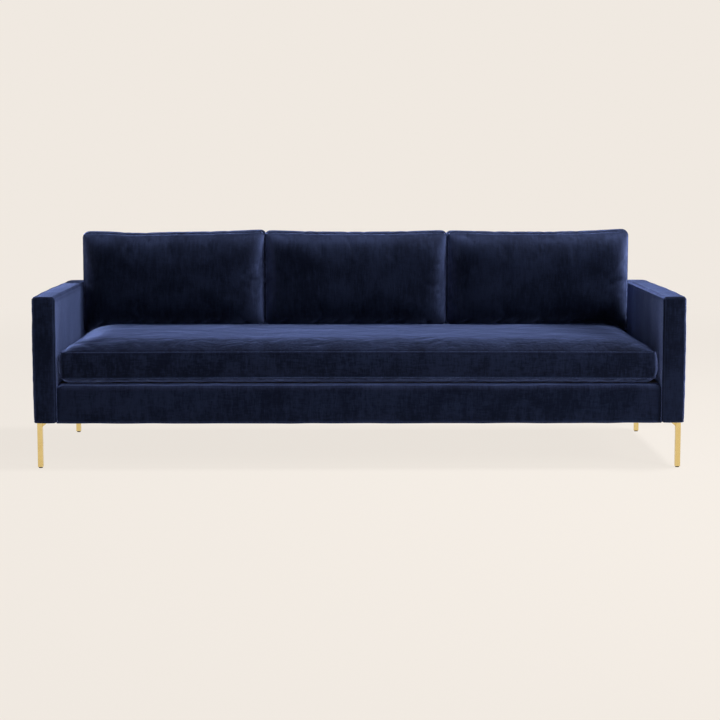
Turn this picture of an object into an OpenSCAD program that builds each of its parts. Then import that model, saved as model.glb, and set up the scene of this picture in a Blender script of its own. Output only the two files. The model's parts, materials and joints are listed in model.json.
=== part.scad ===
// Tuxedo sofa: arms and back of one height, one bench seat cushion, three loose back
// cushions, and four square metal legs.
// Millimetres. +X is the viewer's right, the front faces -Y and +Z is up.
// The origin is on the floor, at the middle of the width and of the depth.
// "left" and "right" are the viewer's, standing in front of the sofa.

/* [Overall size] */
// Width over both arms
sofa_w = 2286; // [1700:1:2500]
// Depth from the arm fronts to the outside back
sofa_d = 915; // [860:1:1000]
// Height of the arms and of the back above the floor
arm_h = 605; // [560:1:660]
// Height of the upholstered body's underside above the floor
base_h = 161; // [130:1:180]
// Height of the seat deck, on which the seat cushion lies
deck_h = 295; // [280:1:320]

/* [Arms, back and front rail] */
// Thickness of each arm
arm_t = 80; // [76:1:110]
// Thickness of the back
back_t = 80; // [76:1:110]
// Radius of the arms' and the back's edges
arm_edge_r = 12; // [6:0.5:16]
// How far the arms' outer faces draw in towards their bottom edge
arm_tuck = 4; // [0:0.5:6]
// Height over which they draw in
arm_tuck_h = 60; // [40:1:100]
// Radius at which an arm's cover turns under
arm_hem_r = 7; // [4:0.5:8]
// How far the front rail stands back from the arm fronts
rail_setback = 20; // [8:1:30]
// Radius of the front rail's top edge
rail_edge_r = 8; // [4:0.5:10]
// How far the front rail reaches below the arms' underside
rail_drop = 4; // [0:0.5:6]
// How far the front rail's cover reaches back over the deck
rail_flap = 50; // [44:1:80]
// How far it folds under the rail
rail_hem = 38; // [15:1:42]

/* [Covers and padding] */
// Thickness of the velvet cover with its lining
cover_t = 2.5; // [1.5:0.1:3]
// Room between a cover and the padding under it
skin_gap = 0.3; // [0.2:0.05:0.5]
// Padding on the outer faces
side_pad = 7; // [5:0.5:10]
// Padding on the arm fronts
front_pad = 10; // [8:0.5:14]
// Padding on top of the arms and the back
top_pad = 10; // [8:0.5:14]
// Padding on the front rail
rail_pad = 8; // [6:0.5:12]
// Thickness of the felt pad on the seat deck
deck_pad_t = 8; // [5:0.5:12]
// Thickness of the fibreboard panels
panel_t = 3; // [2:0.5:4]
// Thickness of the dust cover
dust_t = 1; // [0.5:0.1:1.5]

/* [Wooden frame] */
// Thickness of the posts and rails in the arms
arm_wood_t = 45; // [38:1:48]
// Thickness of the rails and uprights in the back
back_wood_t = 45; // [38:1:48]
// Thickness of the front rail and the seat stretchers
rail_wood_t = 32; // [25:1:40]
// Height of the top rails
top_rail_h = 45; // [35:1:60]
// Width of the posts and uprights
post_w = 45; // [38:1:60]
// Height of the tack rail low in the back
tack_rail_h = 35; // [25:1:45]
// Height of the tack rail's underside above the seat deck
tack_rail_lift = 18; // [10:1:30]
// Room under the straps for the seat to give, over the seat stretchers
stretcher_room = 26; // [20:1:45]
// Number of seat stretchers, and of back uprights above them
stretcher_count = 2; // [1:1:4]
// Leg length of the triangular corner blocks
block_l = 70; // [50:1:90]
// Height of the corner blocks
block_h = 60; // [40:1:80]
// Radius of the dowels
dowel_r = 5; // [4:0.5:6]
// Length of the dowels
dowel_l = 40; // [40:1:70]
// Room round a dowel in its hole
dowel_fit = 0.1; // [0.05:0.01:0.15]

/* [Webbing] */
// Thickness of a strap
web_t = 2; // [1.5:0.1:2.5]
// Width of a strap
web_w = 60; // [50:1:70]
// Room between two straps where they cross
web_gap = 0.3; // [0.2:0.05:0.5]
// Number of seat straps from the front to the back
seat_strap_count = 14; // [8:1:16]
// Number of seat straps from side to side
cross_strap_count = 4; // [3:1:5]
// Number of upright straps in the back
back_strap_count = 11; // [6:1:14]
// Number of back straps from side to side
back_cross_count = 2; // [1:1:2]
// How far a strap lies on the wood at each end
web_hold = 24; // [18:1:28]

/* [Legs] */
// Width of the square leg
leg_w = 18; // [16:0.5:24]
// Radius of the leg's edges
leg_edge_r = 1.5; // [0.5:0.25:3]
// Distance from the arm's outer face to a front leg
front_leg_in = 9; // [7:0.5:24]
// Distance from the arm's front to a front leg
front_leg_back = 18; // [14:1:40]
// Distance from the arm's outer face to a rear leg
rear_leg_in = 20; // [7:0.5:24]
// Distance from the outside back to a rear leg
rear_leg_back = 32; // [20:1:50]
// Length of the gusset along the plate
gusset_l = 18; // [12:0.5:20]
// Height of the gusset
gusset_h = 15; // [10:0.5:24]
// Thickness of the gusset
gusset_t = 5; // [3:0.5:8]
// Width of the leg's plate, across the arm
plate_w = 44; // [40:1:44]
// Length of the leg's plate, along the arm
plate_l = 76; // [70:1:90]
// Thickness of the leg's plate
plate_t = 3; // [2.5:0.5:5]
// Distance of the leg from the plate's middle, along the arm
plate_shift = 22; // [18:1:26]
// Radius of the nylon glide
glide_r = 7; // [5:0.5:8]
// Height of the glide below the leg
glide_h = 4; // [3:0.5:8]
// Radius of the glide's stem
glide_stem_r = 3; // [2:0.5:4]
// Length of the glide's stem
glide_stem_l = 12; // [8:1:20]
// Room round the glide's stem
glide_fit = 0.05; // [0.02:0.01:0.1]
// Radius of a leg screw's shank
screw_r = 2.2; // [1.8:0.1:2.6]
// Length of a leg screw's shank
screw_l = 26; // [20:1:35]
// Radius of its head
screw_head_r = 4.2; // [3.5:0.1:5]
// Height of its head
screw_head_h = 2; // [1.5:0.1:2.5]
// Room round the shank in the plate and in the wood
screw_fit = 0.3; // [0.1:0.05:0.4]
// Distance of the screws from the plate's edges
screw_margin = 7; // [6:0.5:8]

/* [Seat cushion] */
// Room between the seat cushion and each arm
seat_side_gap = 3; // [1:0.5:8]
// Distance of the cushion's front behind the arm fronts
seat_setback = 5; // [2:0.5:20]
// Room behind the cushion for its zip
seat_rear_gap = 6; // [5:0.5:10]
// Height of the boxing between the seams
seat_boxing_h = 92; // [70:1:120]
// Rise of the top panel over its seam
seat_crown = 37; // [20:1:60]
// Swell of the underside below its seam
seat_belly = 22; // [10:1:30]
// Distance over which the top rises from the side seams
seat_side_run = 230; // [150:5:300]
// Distance over which it rises from the front seam
seat_front_run = 240; // [150:5:280]
// Distance over which it rises from the rear seam
seat_rear_run = 100; // [80:5:120]
// Swell of the boxing
seat_bulge = 7; // [3:0.5:12]
// How far the sides and the front draw in between the corners
seat_draw = 4; // [0:0.5:8]
// Radius of the corners in plan
seat_corner_r = 32; // [20:1:45]
// Thickness of the fibre wrap round the foam, at its thinnest
seat_wrap_t = 20; // [12:1:24]

/* [Back cushions] */
// Room between a back cushion and the left arm or the next cushion
back_side_gap = 1; // [0.5:0.5:6]
// Room left over between the last back cushion and the right arm
back_slack = 18; // [1:0.5:40]
// Height of the back cushions at their top corners
back_cushion_h = 360; // [300:1:400]
// Depth of the boxing between the seams
back_boxing_t = 110; // [90:1:130]
// Swell of the front panel over its seam
back_crown = 105; // [60:1:120]
// Swell of the rear panel over its seam
back_belly = 20; // [10:1:30]
// Distance over which the front swells from the side seams
back_side_run = 250; // [150:5:300]
// Distance over which it swells from the top seam
back_top_run = 230; // [120:5:260]
// Distance over which it swells from the bottom seam
back_bottom_run = 110; // [70:5:130]
// Swell of the boxing
back_bulge = 4; // [1:0.5:8]
// How far the sides draw in between the corners
back_side_draw = 1.5; // [0:0.5:6]
// How far the top draws in between the corners
back_top_draw = 7; // [0:0.5:12]
// Radius of the corners seen from the front
back_corner_r = 16; // [10:1:30]
// Room between cushions and what they lie on or lean on
rest_gap = 0.3; // [0.2:0.05:0.5]

/* [Cushion zips] */
// Width of the zip's tape
zip_w = 24; // [20:1:28]
// Thickness of the tape
zip_tape_t = 0.8; // [0.5:0.1:1]
// Width of the closed chain of teeth
zip_chain_w = 5; // [4:0.5:6]
// Height of the chain over the tape
zip_chain_t = 1; // [0.8:0.1:1.2]
// Distance from the zip's ends to the cushion's corners
zip_end = 70; // [50:5:120]
// Distance of a back cushion's zip behind the middle of its boxing
zip_offset = 33; // [30:1:36]
// Length of the slider
slider_l = 14; // [10:0.5:18]
// Width of the slider
slider_w = 9; // [7:0.5:11]
// Thickness of the slider
slider_t = 1.6; // [1:0.1:1.8]
// Room between the slider and the chain
slider_fit = 0.3; // [0.2:0.05:0.4]
// Distance of the slider from the chain's end
zip_stop = 4; // [2:0.5:8]

/* [Hidden] */

velvet = "midnightblue";
foam = "ivory";
fibre = "whitesmoke";
timber = "burlywood";
board = "peru";
strap = "darkslategray";
brass = "goldenrod";

// Left, centre and right, each with its own nodes
back_cushion_count = 3;
// Overrun of every cut
cut = 1;
// Two dowels in each joint, at these shares of its face or of the room for them
dowel_shares = [0.25, 0.75];
edge_steps = 6;
tuck_steps = 4;

// Faces of the arms and the back
half_w = sofa_w / 2;
front_y = -sofa_d / 2;
rear_y = sofa_d / 2;
arm_in = half_w - arm_t;
back_y = rear_y - back_t;
rail_y = front_y + rail_setback;
skin = cover_t + skin_gap;

// Radius at which the front rail's cover turns under
rail_turn_r = rail_edge_r / 2;

// Planes of the wooden frame
wood_z = base_h + plate_t;
wood_top = arm_h - skin - top_pad;
arm_wood_out = half_w - skin - side_pad - panel_t;
arm_wood_in = arm_wood_out - arm_wood_t;
arm_wood_mid = arm_wood_out - arm_wood_t / 2;
wood_front = front_y + skin + front_pad;
wood_rear = rear_y - skin - side_pad - panel_t;
back_wood_front = wood_rear - back_wood_t;
back_wood_mid = wood_rear - back_wood_t / 2;
rail_wood_front = rail_y + skin + rail_pad;
rail_wood_rear = rail_wood_front + rail_wood_t;
rail_wood_mid = rail_wood_front + rail_wood_t / 2;
rail_low = base_h - rail_drop;

// Straps lie on the rails, and cross straps pass over and under them
web_step = web_t + web_gap;
rail_top = deck_h - cover_t - deck_pad_t - 2 * web_step;
web_top = rail_top + 2 * web_step;
web_front = back_wood_front - 2 * web_step;
tack_rail_z = deck_h + tack_rail_lift;

// Seat cushion
seat_w = 2 * (arm_in - seat_side_gap - seat_bulge);
seat_front = front_y + seat_setback + seat_bulge;
seat_rear = back_y - seat_rear_gap;
seat_d = seat_rear - seat_front;
seat_low = deck_h + rest_gap;
seat_top = seat_low + seat_belly + seat_boxing_h + seat_crown;

// Back cushions
back_cushion_pitch = (2 * arm_in - back_slack) / back_cushion_count;
back_cushion_w = back_cushion_pitch - back_side_gap - 2 * back_bulge;
back_cushion_low = seat_top + rest_gap;
back_boxing_y = back_y - rest_gap - back_belly - back_boxing_t / 2;

// Rings of a cushion's form from the cover (0) to the core (2): shares of the half depth at
// which they lie, from the seam inwards, and steps on a long side, a short side and a corner
top_ring_shares = [[0, 0.05, 0.14, 0.28, 0.48, 0.72, 0.96], [0, 0.14, 0.4, 0.8], [0, 0.2, 0.7]];
low_ring_shares = [[0, 0.07, 0.25, 0.6], [0, 0.25, 0.6], [0, 0.25, 0.6]];
ring_steps = [[10, 4, 3], [6, 3, 2], [4, 2, 1]];
crown_power = 2.5;

// A block between two opposite corners
module block(low, high) {
    translate(low) cube(high - low);
}

// An outline in X and Z, drawn out along Y
module along_y(from, to) {
    translate([0, to, 0]) rotate([90, 0, 0]) linear_extrude(height = to - from) children();
}

// An outline in Y and Z, drawn out along X
module along_x(from, to) {
    translate([from, 0, 0]) rotate([90, 0, 90]) linear_extrude(height = to - from) children();
}

module on_left() {
    mirror([1, 0, 0]) children();
}

function arc(centre, r, from, to) =
    [for (i = [0 : edge_steps]) let (a = from + (to - from) * i / edge_steps)
        centre + r * [cos(a), sin(a)]];

// Radius of an edge that lies inset under the outer one, never quite sharp
function inner_r(r, inset) = max(r - inset, cover_t / 2);

// Right-hand arm, shrunk by inset: drawn in at the bottom, rounded along its edges
module arm_elevation(inset, low) {
    r = inner_r(arm_edge_r, inset);
    out = half_w - inset;
    top = arm_h - inset;
    polygon(concat(
        [[arm_in + inset, low], [half_w - arm_tuck - arm_hem_r, low]],
        arc([half_w - arm_tuck - arm_hem_r, base_h + arm_hem_r], inner_r(arm_hem_r, inset), 270, 360),
        [for (i = [1 : tuck_steps]) let (q = i / tuck_steps)
            [out - arm_tuck * pow(1 - q, 2), base_h + arm_hem_r + (arm_tuck_h - arm_hem_r) * q]],
        arc([out - r, top - r], r, 0, 90),
        arc([arm_in + inset + r, top - r], r, 90, 180)));
}

module arm_profile(inset, low) {
    r = inner_r(arm_edge_r, inset);
    top = arm_h - inset;
    polygon(concat(
        arc([front_y + arm_hem_r, base_h + arm_hem_r], inner_r(arm_hem_r, inset), 180, 270),
        [[front_y + arm_hem_r, low], [rear_y - inset, low]],
        arc([rear_y - inset - r, top - r], r, 0, 90),
        arc([front_y + inset + r, top - r], r, 90, 180)));
}

module arm_plan(inset) {
    r = inner_r(arm_edge_r, inset);
    out = half_w - inset;
    polygon(concat(
        [[arm_in + inset, rear_y - inset]],
        arc([arm_in + inset + r, front_y + inset + r], r, 180, 270),
        arc([out - r, front_y + inset + r], r, 270, 360),
        arc([out - r, rear_y - inset - r], r, 0, 90)));
}

module arm_form(inset, low) {
    intersection() {
        along_y(front_y, rear_y) arm_elevation(inset, low);
        along_x(arm_in, half_w) arm_profile(inset, low);
        translate([0, 0, low]) linear_extrude(height = arm_h - low) arm_plan(inset);
    }
}

// Open where the rails and the straps pass, and where the outside back closes the rear
module arm_cover() {
    wall = arm_in + cover_t + cut;
    difference() {
        arm_form(0, base_h);
        arm_form(cover_t, base_h - cut);
        block([arm_in - cut, rail_wood_front, base_h - cut], [wall, rear_y, web_top]);
        block([arm_in - cut, back_y + cover_t, base_h - cut], [wall, rear_y, arm_h - arm_edge_r]);
        block([arm_in - cut, rear_y - cover_t, base_h - cut],
            [half_w - arm_edge_r, rear_y + cut, arm_h - arm_edge_r]);
    }
}

module arm_padding() {
    core_in = arm_wood_in - panel_t;
    difference() {
        arm_form(skin, base_h - cut);
        block([core_in, wood_front, base_h - 2 * cut],
            [arm_wood_out + panel_t, wood_rear + panel_t, wood_top]);
        block([arm_in, front_y, base_h - 2 * cut], [half_w, rear_y, wood_z]);
        block([arm_in, rail_wood_front, base_h], [core_in + cut, rear_y, web_top]);
        block([arm_in, back_y, base_h], [core_in + cut, rear_y, wood_top]);
        block([arm_in, wood_rear, base_h], [arm_wood_in, rear_y, arm_h]);
    }
}

// The outer panel covers the whole side, the inner one stops at the deck and the back
module arm_panels() {
    block([arm_wood_out, wood_front, wood_z], [arm_wood_out + panel_t, wood_rear, wood_top]);
    block([arm_wood_in - panel_t, wood_front, web_top], [arm_wood_in, back_y, wood_top]);
}

module back_profile(inset, low) {
    r = inner_r(arm_edge_r, inset);
    top = arm_h - inset;
    polygon(concat(
        [[back_y + inset, low], [rear_y - inset, low]],
        arc([rear_y - inset - r, top - r], r, 0, 90),
        arc([back_y + inset + r, top - r], r, 90, 180)));
}

// Inside back and top in one piece, down to the rear seam
module back_cover() {
    color(velvet) difference() {
        along_x(-arm_in, arm_in) back_profile(0, web_top);
        along_x(-half_w, half_w) back_profile(cover_t, web_top - cut);
        block([-half_w, rear_y - cover_t, web_top - cut], [half_w, rear_y + cut, arm_h - arm_edge_r]);
    }
}

module outside_back_cover() {
    out = half_w - arm_edge_r;
    color(velvet) block([-out, rear_y - cover_t, base_h], [out, rear_y, arm_h - arm_edge_r]);
}

module back_padding() {
    color(foam) difference() {
        along_x(-arm_in, arm_in) back_profile(skin, wood_z);
        block([-half_w, web_front, base_h], [half_w, wood_rear + panel_t, wood_top]);
        block([-half_w, back_y, base_h], [half_w, web_front + cut, web_top]);
    }
}

module back_panel() {
    out = arm_wood_out + panel_t;
    color(board) block([-out, wood_rear, wood_z], [out, wood_rear + panel_t, wood_top]);
}

// Front rail from its rear face forwards, shrunk by inset
module rail_profile(inset) {
    r = inner_r(rail_edge_r, inset);
    turn_r = inner_r(rail_turn_r, inset);
    low = rail_low + inset;
    polygon(concat(
        arc([rail_y + inset + turn_r, low + turn_r], turn_r, 180, 270),
        [[rail_wood_rear, low], [rail_wood_rear, deck_h - inset]],
        arc([rail_y + inset + r, deck_h - inset - r], r, 90, 180)));
}

// Front wall, a flap over the deck pad and a hem under the rail
module front_rail_cover() {
    color(velvet) along_x(-arm_in, arm_in) {
        difference() {
            rail_profile(0);
            rail_profile(cover_t);
            translate([rail_wood_rear - cut, rail_low + cover_t])
                square([2 * cut, deck_h - rail_low - 2 * cover_t]);
            translate([rail_y + rail_hem, rail_low - cut])
                square([rail_wood_rear - rail_y, cover_t + 2 * cut]);
        }
        translate([rail_wood_rear - cut, deck_h - cover_t])
            square([rail_y + rail_flap - rail_wood_rear + cut, cover_t]);
    }
}

module front_rail_padding() {
    color(foam) along_x(-arm_in, arm_in) difference() {
        rail_profile(skin);
        translate([rail_wood_front, rail_low]) square([rail_wood_t + cut, deck_h]);
    }
}

module deck_pad() {
    color(fibre) block([-arm_in, rail_wood_front, web_top], [arm_in, back_y, deck_h - cover_t]);
}

module deck_cover() {
    color("darkslateblue")
        block([-arm_in, rail_y + rail_flap, deck_h - cover_t], [arm_in, back_y, deck_h]);
}

// Places of the leg plates' middles, with the side of the sofa that each is on
plate_y = front_y + front_leg_back + leg_w / 2 + plate_shift;
rear_plate_y = rear_y - rear_leg_back - leg_w / 2 - plate_shift;

// Under the rails, cut out round the leg plates
module dust_cover() {
    out = half_w - arm_tuck - arm_hem_r;
    room = plate_w / 2 + skin;
    color("dimgray") difference() {
        block([-out, rail_wood_rear + skin_gap, wood_z - dust_t], [out, rear_y - skin, wood_z]);
        for (side = [-1, 1])
            for (y = [plate_y, rear_plate_y])
                translate([side * arm_wood_mid, y, wood_z])
                    cube([2 * room, plate_l + 2 * skin, 2 * plate_t], center = true);
    }
}

// Dowels along X at the ends of the four rails, as [y, z]. Those of the seat rails lie between
// the tips of the leg screws and the posts' own dowels.
seat_dowel_low = base_h + screw_l + screw_fit;
seat_dowel_high = rail_top - dowel_l / 2 - dowel_fit;
x_dowels = concat(
    [for (y = [rail_wood_mid, back_wood_mid], q = dowel_shares)
        [y, seat_dowel_low + (seat_dowel_high - seat_dowel_low) * q]],
    [for (q = dowel_shares) [wood_rear - back_wood_t * dowel_shares[0], wood_top - top_rail_h * q]],
    [for (q = dowel_shares) [wood_rear - back_wood_t * q, tack_rail_z + tack_rail_h / 2]]);
// Dowels along Z in the posts' feet and in the front post's top, as [y, z]
z_dowels = concat(
    [for (q = dowel_shares) [wood_front + post_w * q, rail_top]],
    [for (q = dowel_shares) [wood_rear - back_wood_t * q, rail_top]],
    [for (q = dowel_shares) [wood_front + post_w * q, wood_top - top_rail_h]]);

module dowels(r, l) {
    for (side = [-1, 1]) {
        for (p = x_dowels)
            translate([side * arm_wood_in - l / 2, p[0], p[1]])
                rotate([0, 90, 0]) cylinder(r = r, h = l);
        for (p = z_dowels)
            translate([side * arm_wood_mid, p[0], p[1] - l / 2]) cylinder(r = r, h = l);
        // Along Y: the arm rail's end in the back post
        for (q = dowel_shares)
            translate([side * (arm_wood_in + arm_wood_t * q), back_wood_front,
                    wood_top - top_rail_h / 2])
                rotate([90, 0, 0]) cylinder(r = r, h = l, center = true);
    }
}

// A timber of the frame, bored for the dowels
module timber_block(low, high) {
    color(timber) difference() {
        block(low, high);
        dowels(dowel_r + dowel_fit, dowel_l + 2 * dowel_fit);
    }
}

module frame_dowels() {
    color("tan") dowels(dowel_r, dowel_l);
}

// Reaches down to the hem of its cover
module front_rail() {
    timber_block([-arm_wood_in, rail_wood_front, rail_low + skin],
        [arm_wood_in, rail_wood_rear, rail_top]);
}

module back_rail() {
    timber_block([-arm_wood_in, back_wood_front, wood_z], [arm_wood_in, wood_rear, rail_top]);
}

// The side rail takes the leg screws
module side_rail() {
    difference() {
        timber_block([arm_wood_in, wood_front, wood_z], [arm_wood_out, wood_rear, rail_top]);
        for (end = [-1, 1])
            leg_place(1, end) at_screws() cylinder(r = screw_r + screw_fit, h = screw_l + screw_fit);
    }
}

module front_post() {
    timber_block([arm_wood_in, wood_front, rail_top],
        [arm_wood_out, wood_front + post_w, wood_top - top_rail_h]);
}

module back_post() {
    timber_block([arm_wood_in, back_wood_front, rail_top], [arm_wood_out, wood_rear, wood_top]);
}

module arm_rail() {
    timber_block([arm_wood_in, wood_front, wood_top - top_rail_h],
        [arm_wood_out, back_wood_front, wood_top]);
}

module back_top_rail() {
    timber_block([-arm_wood_in, back_wood_front, wood_top - top_rail_h],
        [arm_wood_in, wood_rear, wood_top]);
}

module back_tack_rail() {
    timber_block([-arm_wood_in, back_wood_front, tack_rail_z],
        [arm_wood_in, wood_rear, tack_rail_z + tack_rail_h]);
}

function stretcher_x(i) = (i + 1) * 2 * arm_wood_in / (stretcher_count + 1) - arm_wood_in;

module seat_stretchers() {
    half = rail_wood_t / 2;
    color(timber) for (i = [0 : stretcher_count - 1])
        block([stretcher_x(i) - half, rail_wood_rear, wood_z],
            [stretcher_x(i) + half, back_wood_front, rail_top - stretcher_room]);
}

// Set back behind the straps
module back_uprights() {
    half = post_w / 2;
    color(timber) for (i = [0 : stretcher_count - 1])
        block([stretcher_x(i) - half, back_wood_front + 2 * web_step, tack_rail_z + tack_rail_h],
            [stretcher_x(i) + half, wood_rear, wood_top - top_rail_h]);
}

module corner_block() {
    linear_extrude(height = block_h) polygon([[0, 0], [-block_l, 0], [0, block_l]]);
}

module corner_blocks() {
    color(timber) for (side = [0, 1]) mirror([side, 0, 0]) {
        translate([arm_wood_in, rail_wood_rear, wood_z]) corner_block();
        translate([arm_wood_in, back_wood_front, wood_z]) mirror([0, 1, 0]) corner_block();
    }
}

// Middle of strap i out of count, spread evenly between two ends
function strap_at(i, count, from, to) = from + (to - from) * (i + 1) / (count + 1);

// Outline of a strap that passes over and under the others: flat at both ends
function weave_line(count, from, to, first) = concat(
    [[from - web_hold, 0], [from, 0]],
    [for (i = [0 : count - 1], side = [-1, 1])
        [strap_at(i, count, from, to) + side * (web_w / 2 + web_step),
            web_step * ((i + first) % 2 == 0 ? 1 : -1)]],
    [[to, 0], [to + web_hold, 0]]);

module woven_strap(count, from, to, first) {
    line = weave_line(count, from, to, first);
    last = len(line) - 1;
    polygon(concat([for (p = line) p], [for (i = [0 : last]) line[last - i] + [0, web_t]]));
}

module seat_webbing() {
    color(strap) for (i = [0 : seat_strap_count - 1])
        translate([strap_at(i, seat_strap_count, -arm_wood_in, arm_wood_in) - web_w / 2, 0, rail_top])
            block([0, rail_wood_rear - web_hold, 0], [web_w, back_wood_front + web_hold, web_t]);
}

module seat_cross_webbing() {
    color(strap) for (i = [0 : cross_strap_count - 1]) {
        y = strap_at(i, cross_strap_count, rail_wood_rear, back_wood_front);
        translate([0, 0, rail_top]) along_y(y - web_w / 2, y + web_w / 2)
            woven_strap(seat_strap_count, -arm_wood_in, arm_wood_in, i);
    }
}

module back_webbing() {
    low = tack_rail_z + tack_rail_h - web_hold;
    high = wood_top - top_rail_h + web_hold;
    color(strap) for (i = [0 : back_strap_count - 1])
        translate([strap_at(i, back_strap_count, -arm_wood_in, arm_wood_in) - web_w / 2, 0, 0])
            block([0, back_wood_front - web_t, low], [web_w, back_wood_front, high]);
}

module back_cross_webbing() {
    low = tack_rail_z + tack_rail_h;
    high = wood_top - top_rail_h;
    color(strap) for (i = [0 : back_cross_count - 1]) {
        z = strap_at(i, back_cross_count, low, high);
        translate([0, back_wood_front, z - web_w / 2]) mirror([0, 1, 0]) linear_extrude(height = web_w)
            woven_strap(back_strap_count, -arm_wood_in, arm_wood_in, i);
    }
}

// How far a leg's outer face lies outside its plate's middle
function leg_out(in) = half_w - in - arm_wood_mid;

// Puts a leg under the plate of one side, -1 or 1, and one end, -1 at the front or 1.
// Local: +X points outwards, -Y to the near end of the sofa, and Z starts under the plate.
module leg_place(side, end) {
    translate([side * arm_wood_mid, end < 0 ? plate_y : rear_plate_y, base_h])
        mirror([side < 0 ? 1 : 0, 0, 0]) mirror([0, end < 0 ? 0 : 1, 0]) children();
}

// Screw places as shares of the distance from the plate's middle to its screw lines
screw_shares = [[-1, -1], [-1, 1], [1, 1], [1, 0.1]];

module at_screws() {
    for (q = screw_shares)
        translate([q[0] * (plate_w / 2 - screw_margin), q[1] * (plate_l / 2 - screw_margin), 0])
            children();
}

// Square bar with rounded edges, down to the glide
module leg_bar(out) {
    bar_h = base_h - glide_h;
    corner = leg_w / 2 - leg_edge_r;
    translate([out - leg_w / 2, -plate_shift, -bar_h]) linear_extrude(height = bar_h)
        polygon([for (k = [0 : 3]) let (a = 90 * k + 45)
            each arc(corner * sqrt(2) * [cos(a), sin(a)], leg_edge_r, a - 45, a + 45)]);
}

// Three-cornered plate in the angle between the plate and the bar's inner face
module gusset(out) {
    along_y(-plate_shift - gusset_t / 2, -plate_shift + gusset_t / 2)
        translate([out - leg_w, 0]) polygon([[0, 0], [-gusset_l, 0], [0, -gusset_h]]);
}

// Bar, gusset and plate are welded in one piece, bored for the screws and the glide's stem
module leg(in, end, side) {
    out = leg_out(in);
    color(brass) leg_place(side, end) difference() {
        union() {
            leg_bar(out);
            gusset(out);
            translate([-plate_w / 2, -plate_l / 2, 0]) cube([plate_w, plate_l, plate_t]);
        }
        at_screws() translate([0, 0, -cut]) cylinder(r = screw_r + screw_fit, h = plate_t + 2 * cut);
        translate([out - leg_w / 2, -plate_shift, glide_h - base_h - cut])
            cylinder(r = glide_stem_r + glide_fit, h = glide_stem_l + glide_fit + cut);
    }
}

module leg_screws() {
    color("silver") for (side = [-1, 1], end = [-1, 1]) leg_place(side, end) at_screws() {
        translate([0, 0, -screw_head_h]) cylinder(r = screw_head_r, h = screw_head_h);
        cylinder(r = screw_r, h = screw_l);
    }
}

module leg_glides() {
    color("black") for (side = [-1, 1], end = [-1, 1]) leg_place(side, end)
        translate([leg_out(end < 0 ? front_leg_in : rear_leg_in) - leg_w / 2, -plate_shift, -base_h]) {
            cylinder(r = glide_r, h = glide_h);
            cylinder(r = glide_stem_r, h = glide_h + glide_stem_l);
        }
}

// Share of its full swell that a cushion's panel reaches at a distance from a seam
function rise(distance, run) = 1 - pow(1 - min(1, max(0, distance) / run), crown_power);

// One ring round a cushion in plan: corner arcs with the sides between them.
// steps holds the number of steps on a long side, on a short side and round a corner.
function plan_ring(w, d, r, inset, steps) =
    let (hx = w / 2 - inset, hy = d / 2 - inset, rr = r * hy / (d / 2),
        centres = [[hx - rr, rr - hy], [hx - rr, hy - rr], [rr - hx, hy - rr], [rr - hx, rr - hy]],
        angle = function(k, i) 90 * (k - 1 + i / steps[2]),
        corner = function(k, i) centres[k % 4] + rr * [cos(angle(k, i)), sin(angle(k, i))])
    [for (k = [0 : 3]) let (n = steps[(k + 1) % 2], a = corner(k, steps[2]), b = corner(k + 1, 0))
        each concat(
            [for (i = [0 : steps[2]]) corner(k, i)],
            [for (i = [1 : n - 1]) a + (b - a) * i / n])];

// Two sides and the far side drawn in between the corners by draw[0] and draw[1]
function bow(t) = 1 - t * t;
function drawn_in(p, w, d, draw) = [
    p[0] * (1 - draw[0] * 2 / w * bow(p[1] * 2 / d)),
    p[1] > 0 ? p[1] * (1 - draw[1] * 2 / d * bow(p[0] * 2 / w)) : p[1]];

// A cushion lying flat: boxing from Z = 0 to h, crown above it and belly below it.
// The near side, at -Y, is flat. runs holds the side, far and near distances of the crown.
// inset shrinks the form for the layers inside, and level 0 has the finest rings.
module cushion_form(size, r, crown, belly, runs, bulge, draw, inset, level) {
    w = size[0] - 2 * inset;
    d = size[1] - 2 * inset;
    steps = ring_steps[level];
    n = 2 * (steps[0] + steps[1]) + 4 * steps[2];
    upper = function(p) size[2] - inset + crown * rise(w / 2 - abs(p[0]), runs[0])
        * rise(d / 2 - p[1], runs[1]) * rise(p[1] + d / 2, runs[2]);
    lower = function(p) inset - belly * rise(w / 2 - abs(p[0]), runs[2])
        * rise(d / 2 - abs(p[1]), runs[2]);
    low = low_ring_shares[level];
    high = top_ring_shares[level];
    plan = function(share) plan_ring(w, d, r, share * d / 2, steps);
    rings = concat(
        [for (i = [1 : len(low)]) [for (p = plan(low[len(low) - i])) [p, lower(p)]]],
        [[for (p = plan_ring(w, d, r, -bulge, steps)) [[p[0], max(p[1], -d / 2)], size[2] / 2]]],
        [for (q = high) [for (p = plan(q)) [p, upper(p)]]]);
    last = len(rings) - 1;
    points = [for (ring = rings, v = ring) let (p = drawn_in(v[0], w, d, draw)) [p[0], p[1], v[1]]];
    // Each four-sided face is split alike on both sides of the cushion's middle
    outwards = function(a, b) norm([points[a][0], points[a][1]]) < norm([points[b][0], points[b][1]]);
    polyhedron(
        concat(points, [[0, 0, lower([0, 0])], [0, 0, upper([0, 0])]]),
        concat(
            [for (i = [0 : last - 1], j = [0 : n - 1])
                let (a = i * n + j, b = i * n + (j + 1) % n)
                each outwards(a, b) ? [[a, a + n, b + n], [a, b + n, b]]
                    : [[a, a + n, b], [b, a + n, b + n]]],
            [for (j = [0 : n - 1]) [len(points), j, (j + 1) % n]],
            [for (j = [0 : n - 1]) [len(points) + 1, last * n + (j + 1) % n, last * n + j]]));
}

module seat_form(inset, level) {
    translate([0, (seat_front + seat_rear) / 2, seat_low + seat_belly]) rotate([0, 0, 180])
        cushion_form([seat_w, seat_d, seat_boxing_h], seat_corner_r, seat_crown, seat_belly,
            [seat_side_run, seat_front_run, seat_rear_run], seat_bulge, [seat_draw, seat_draw],
            inset, level);
}

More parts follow.
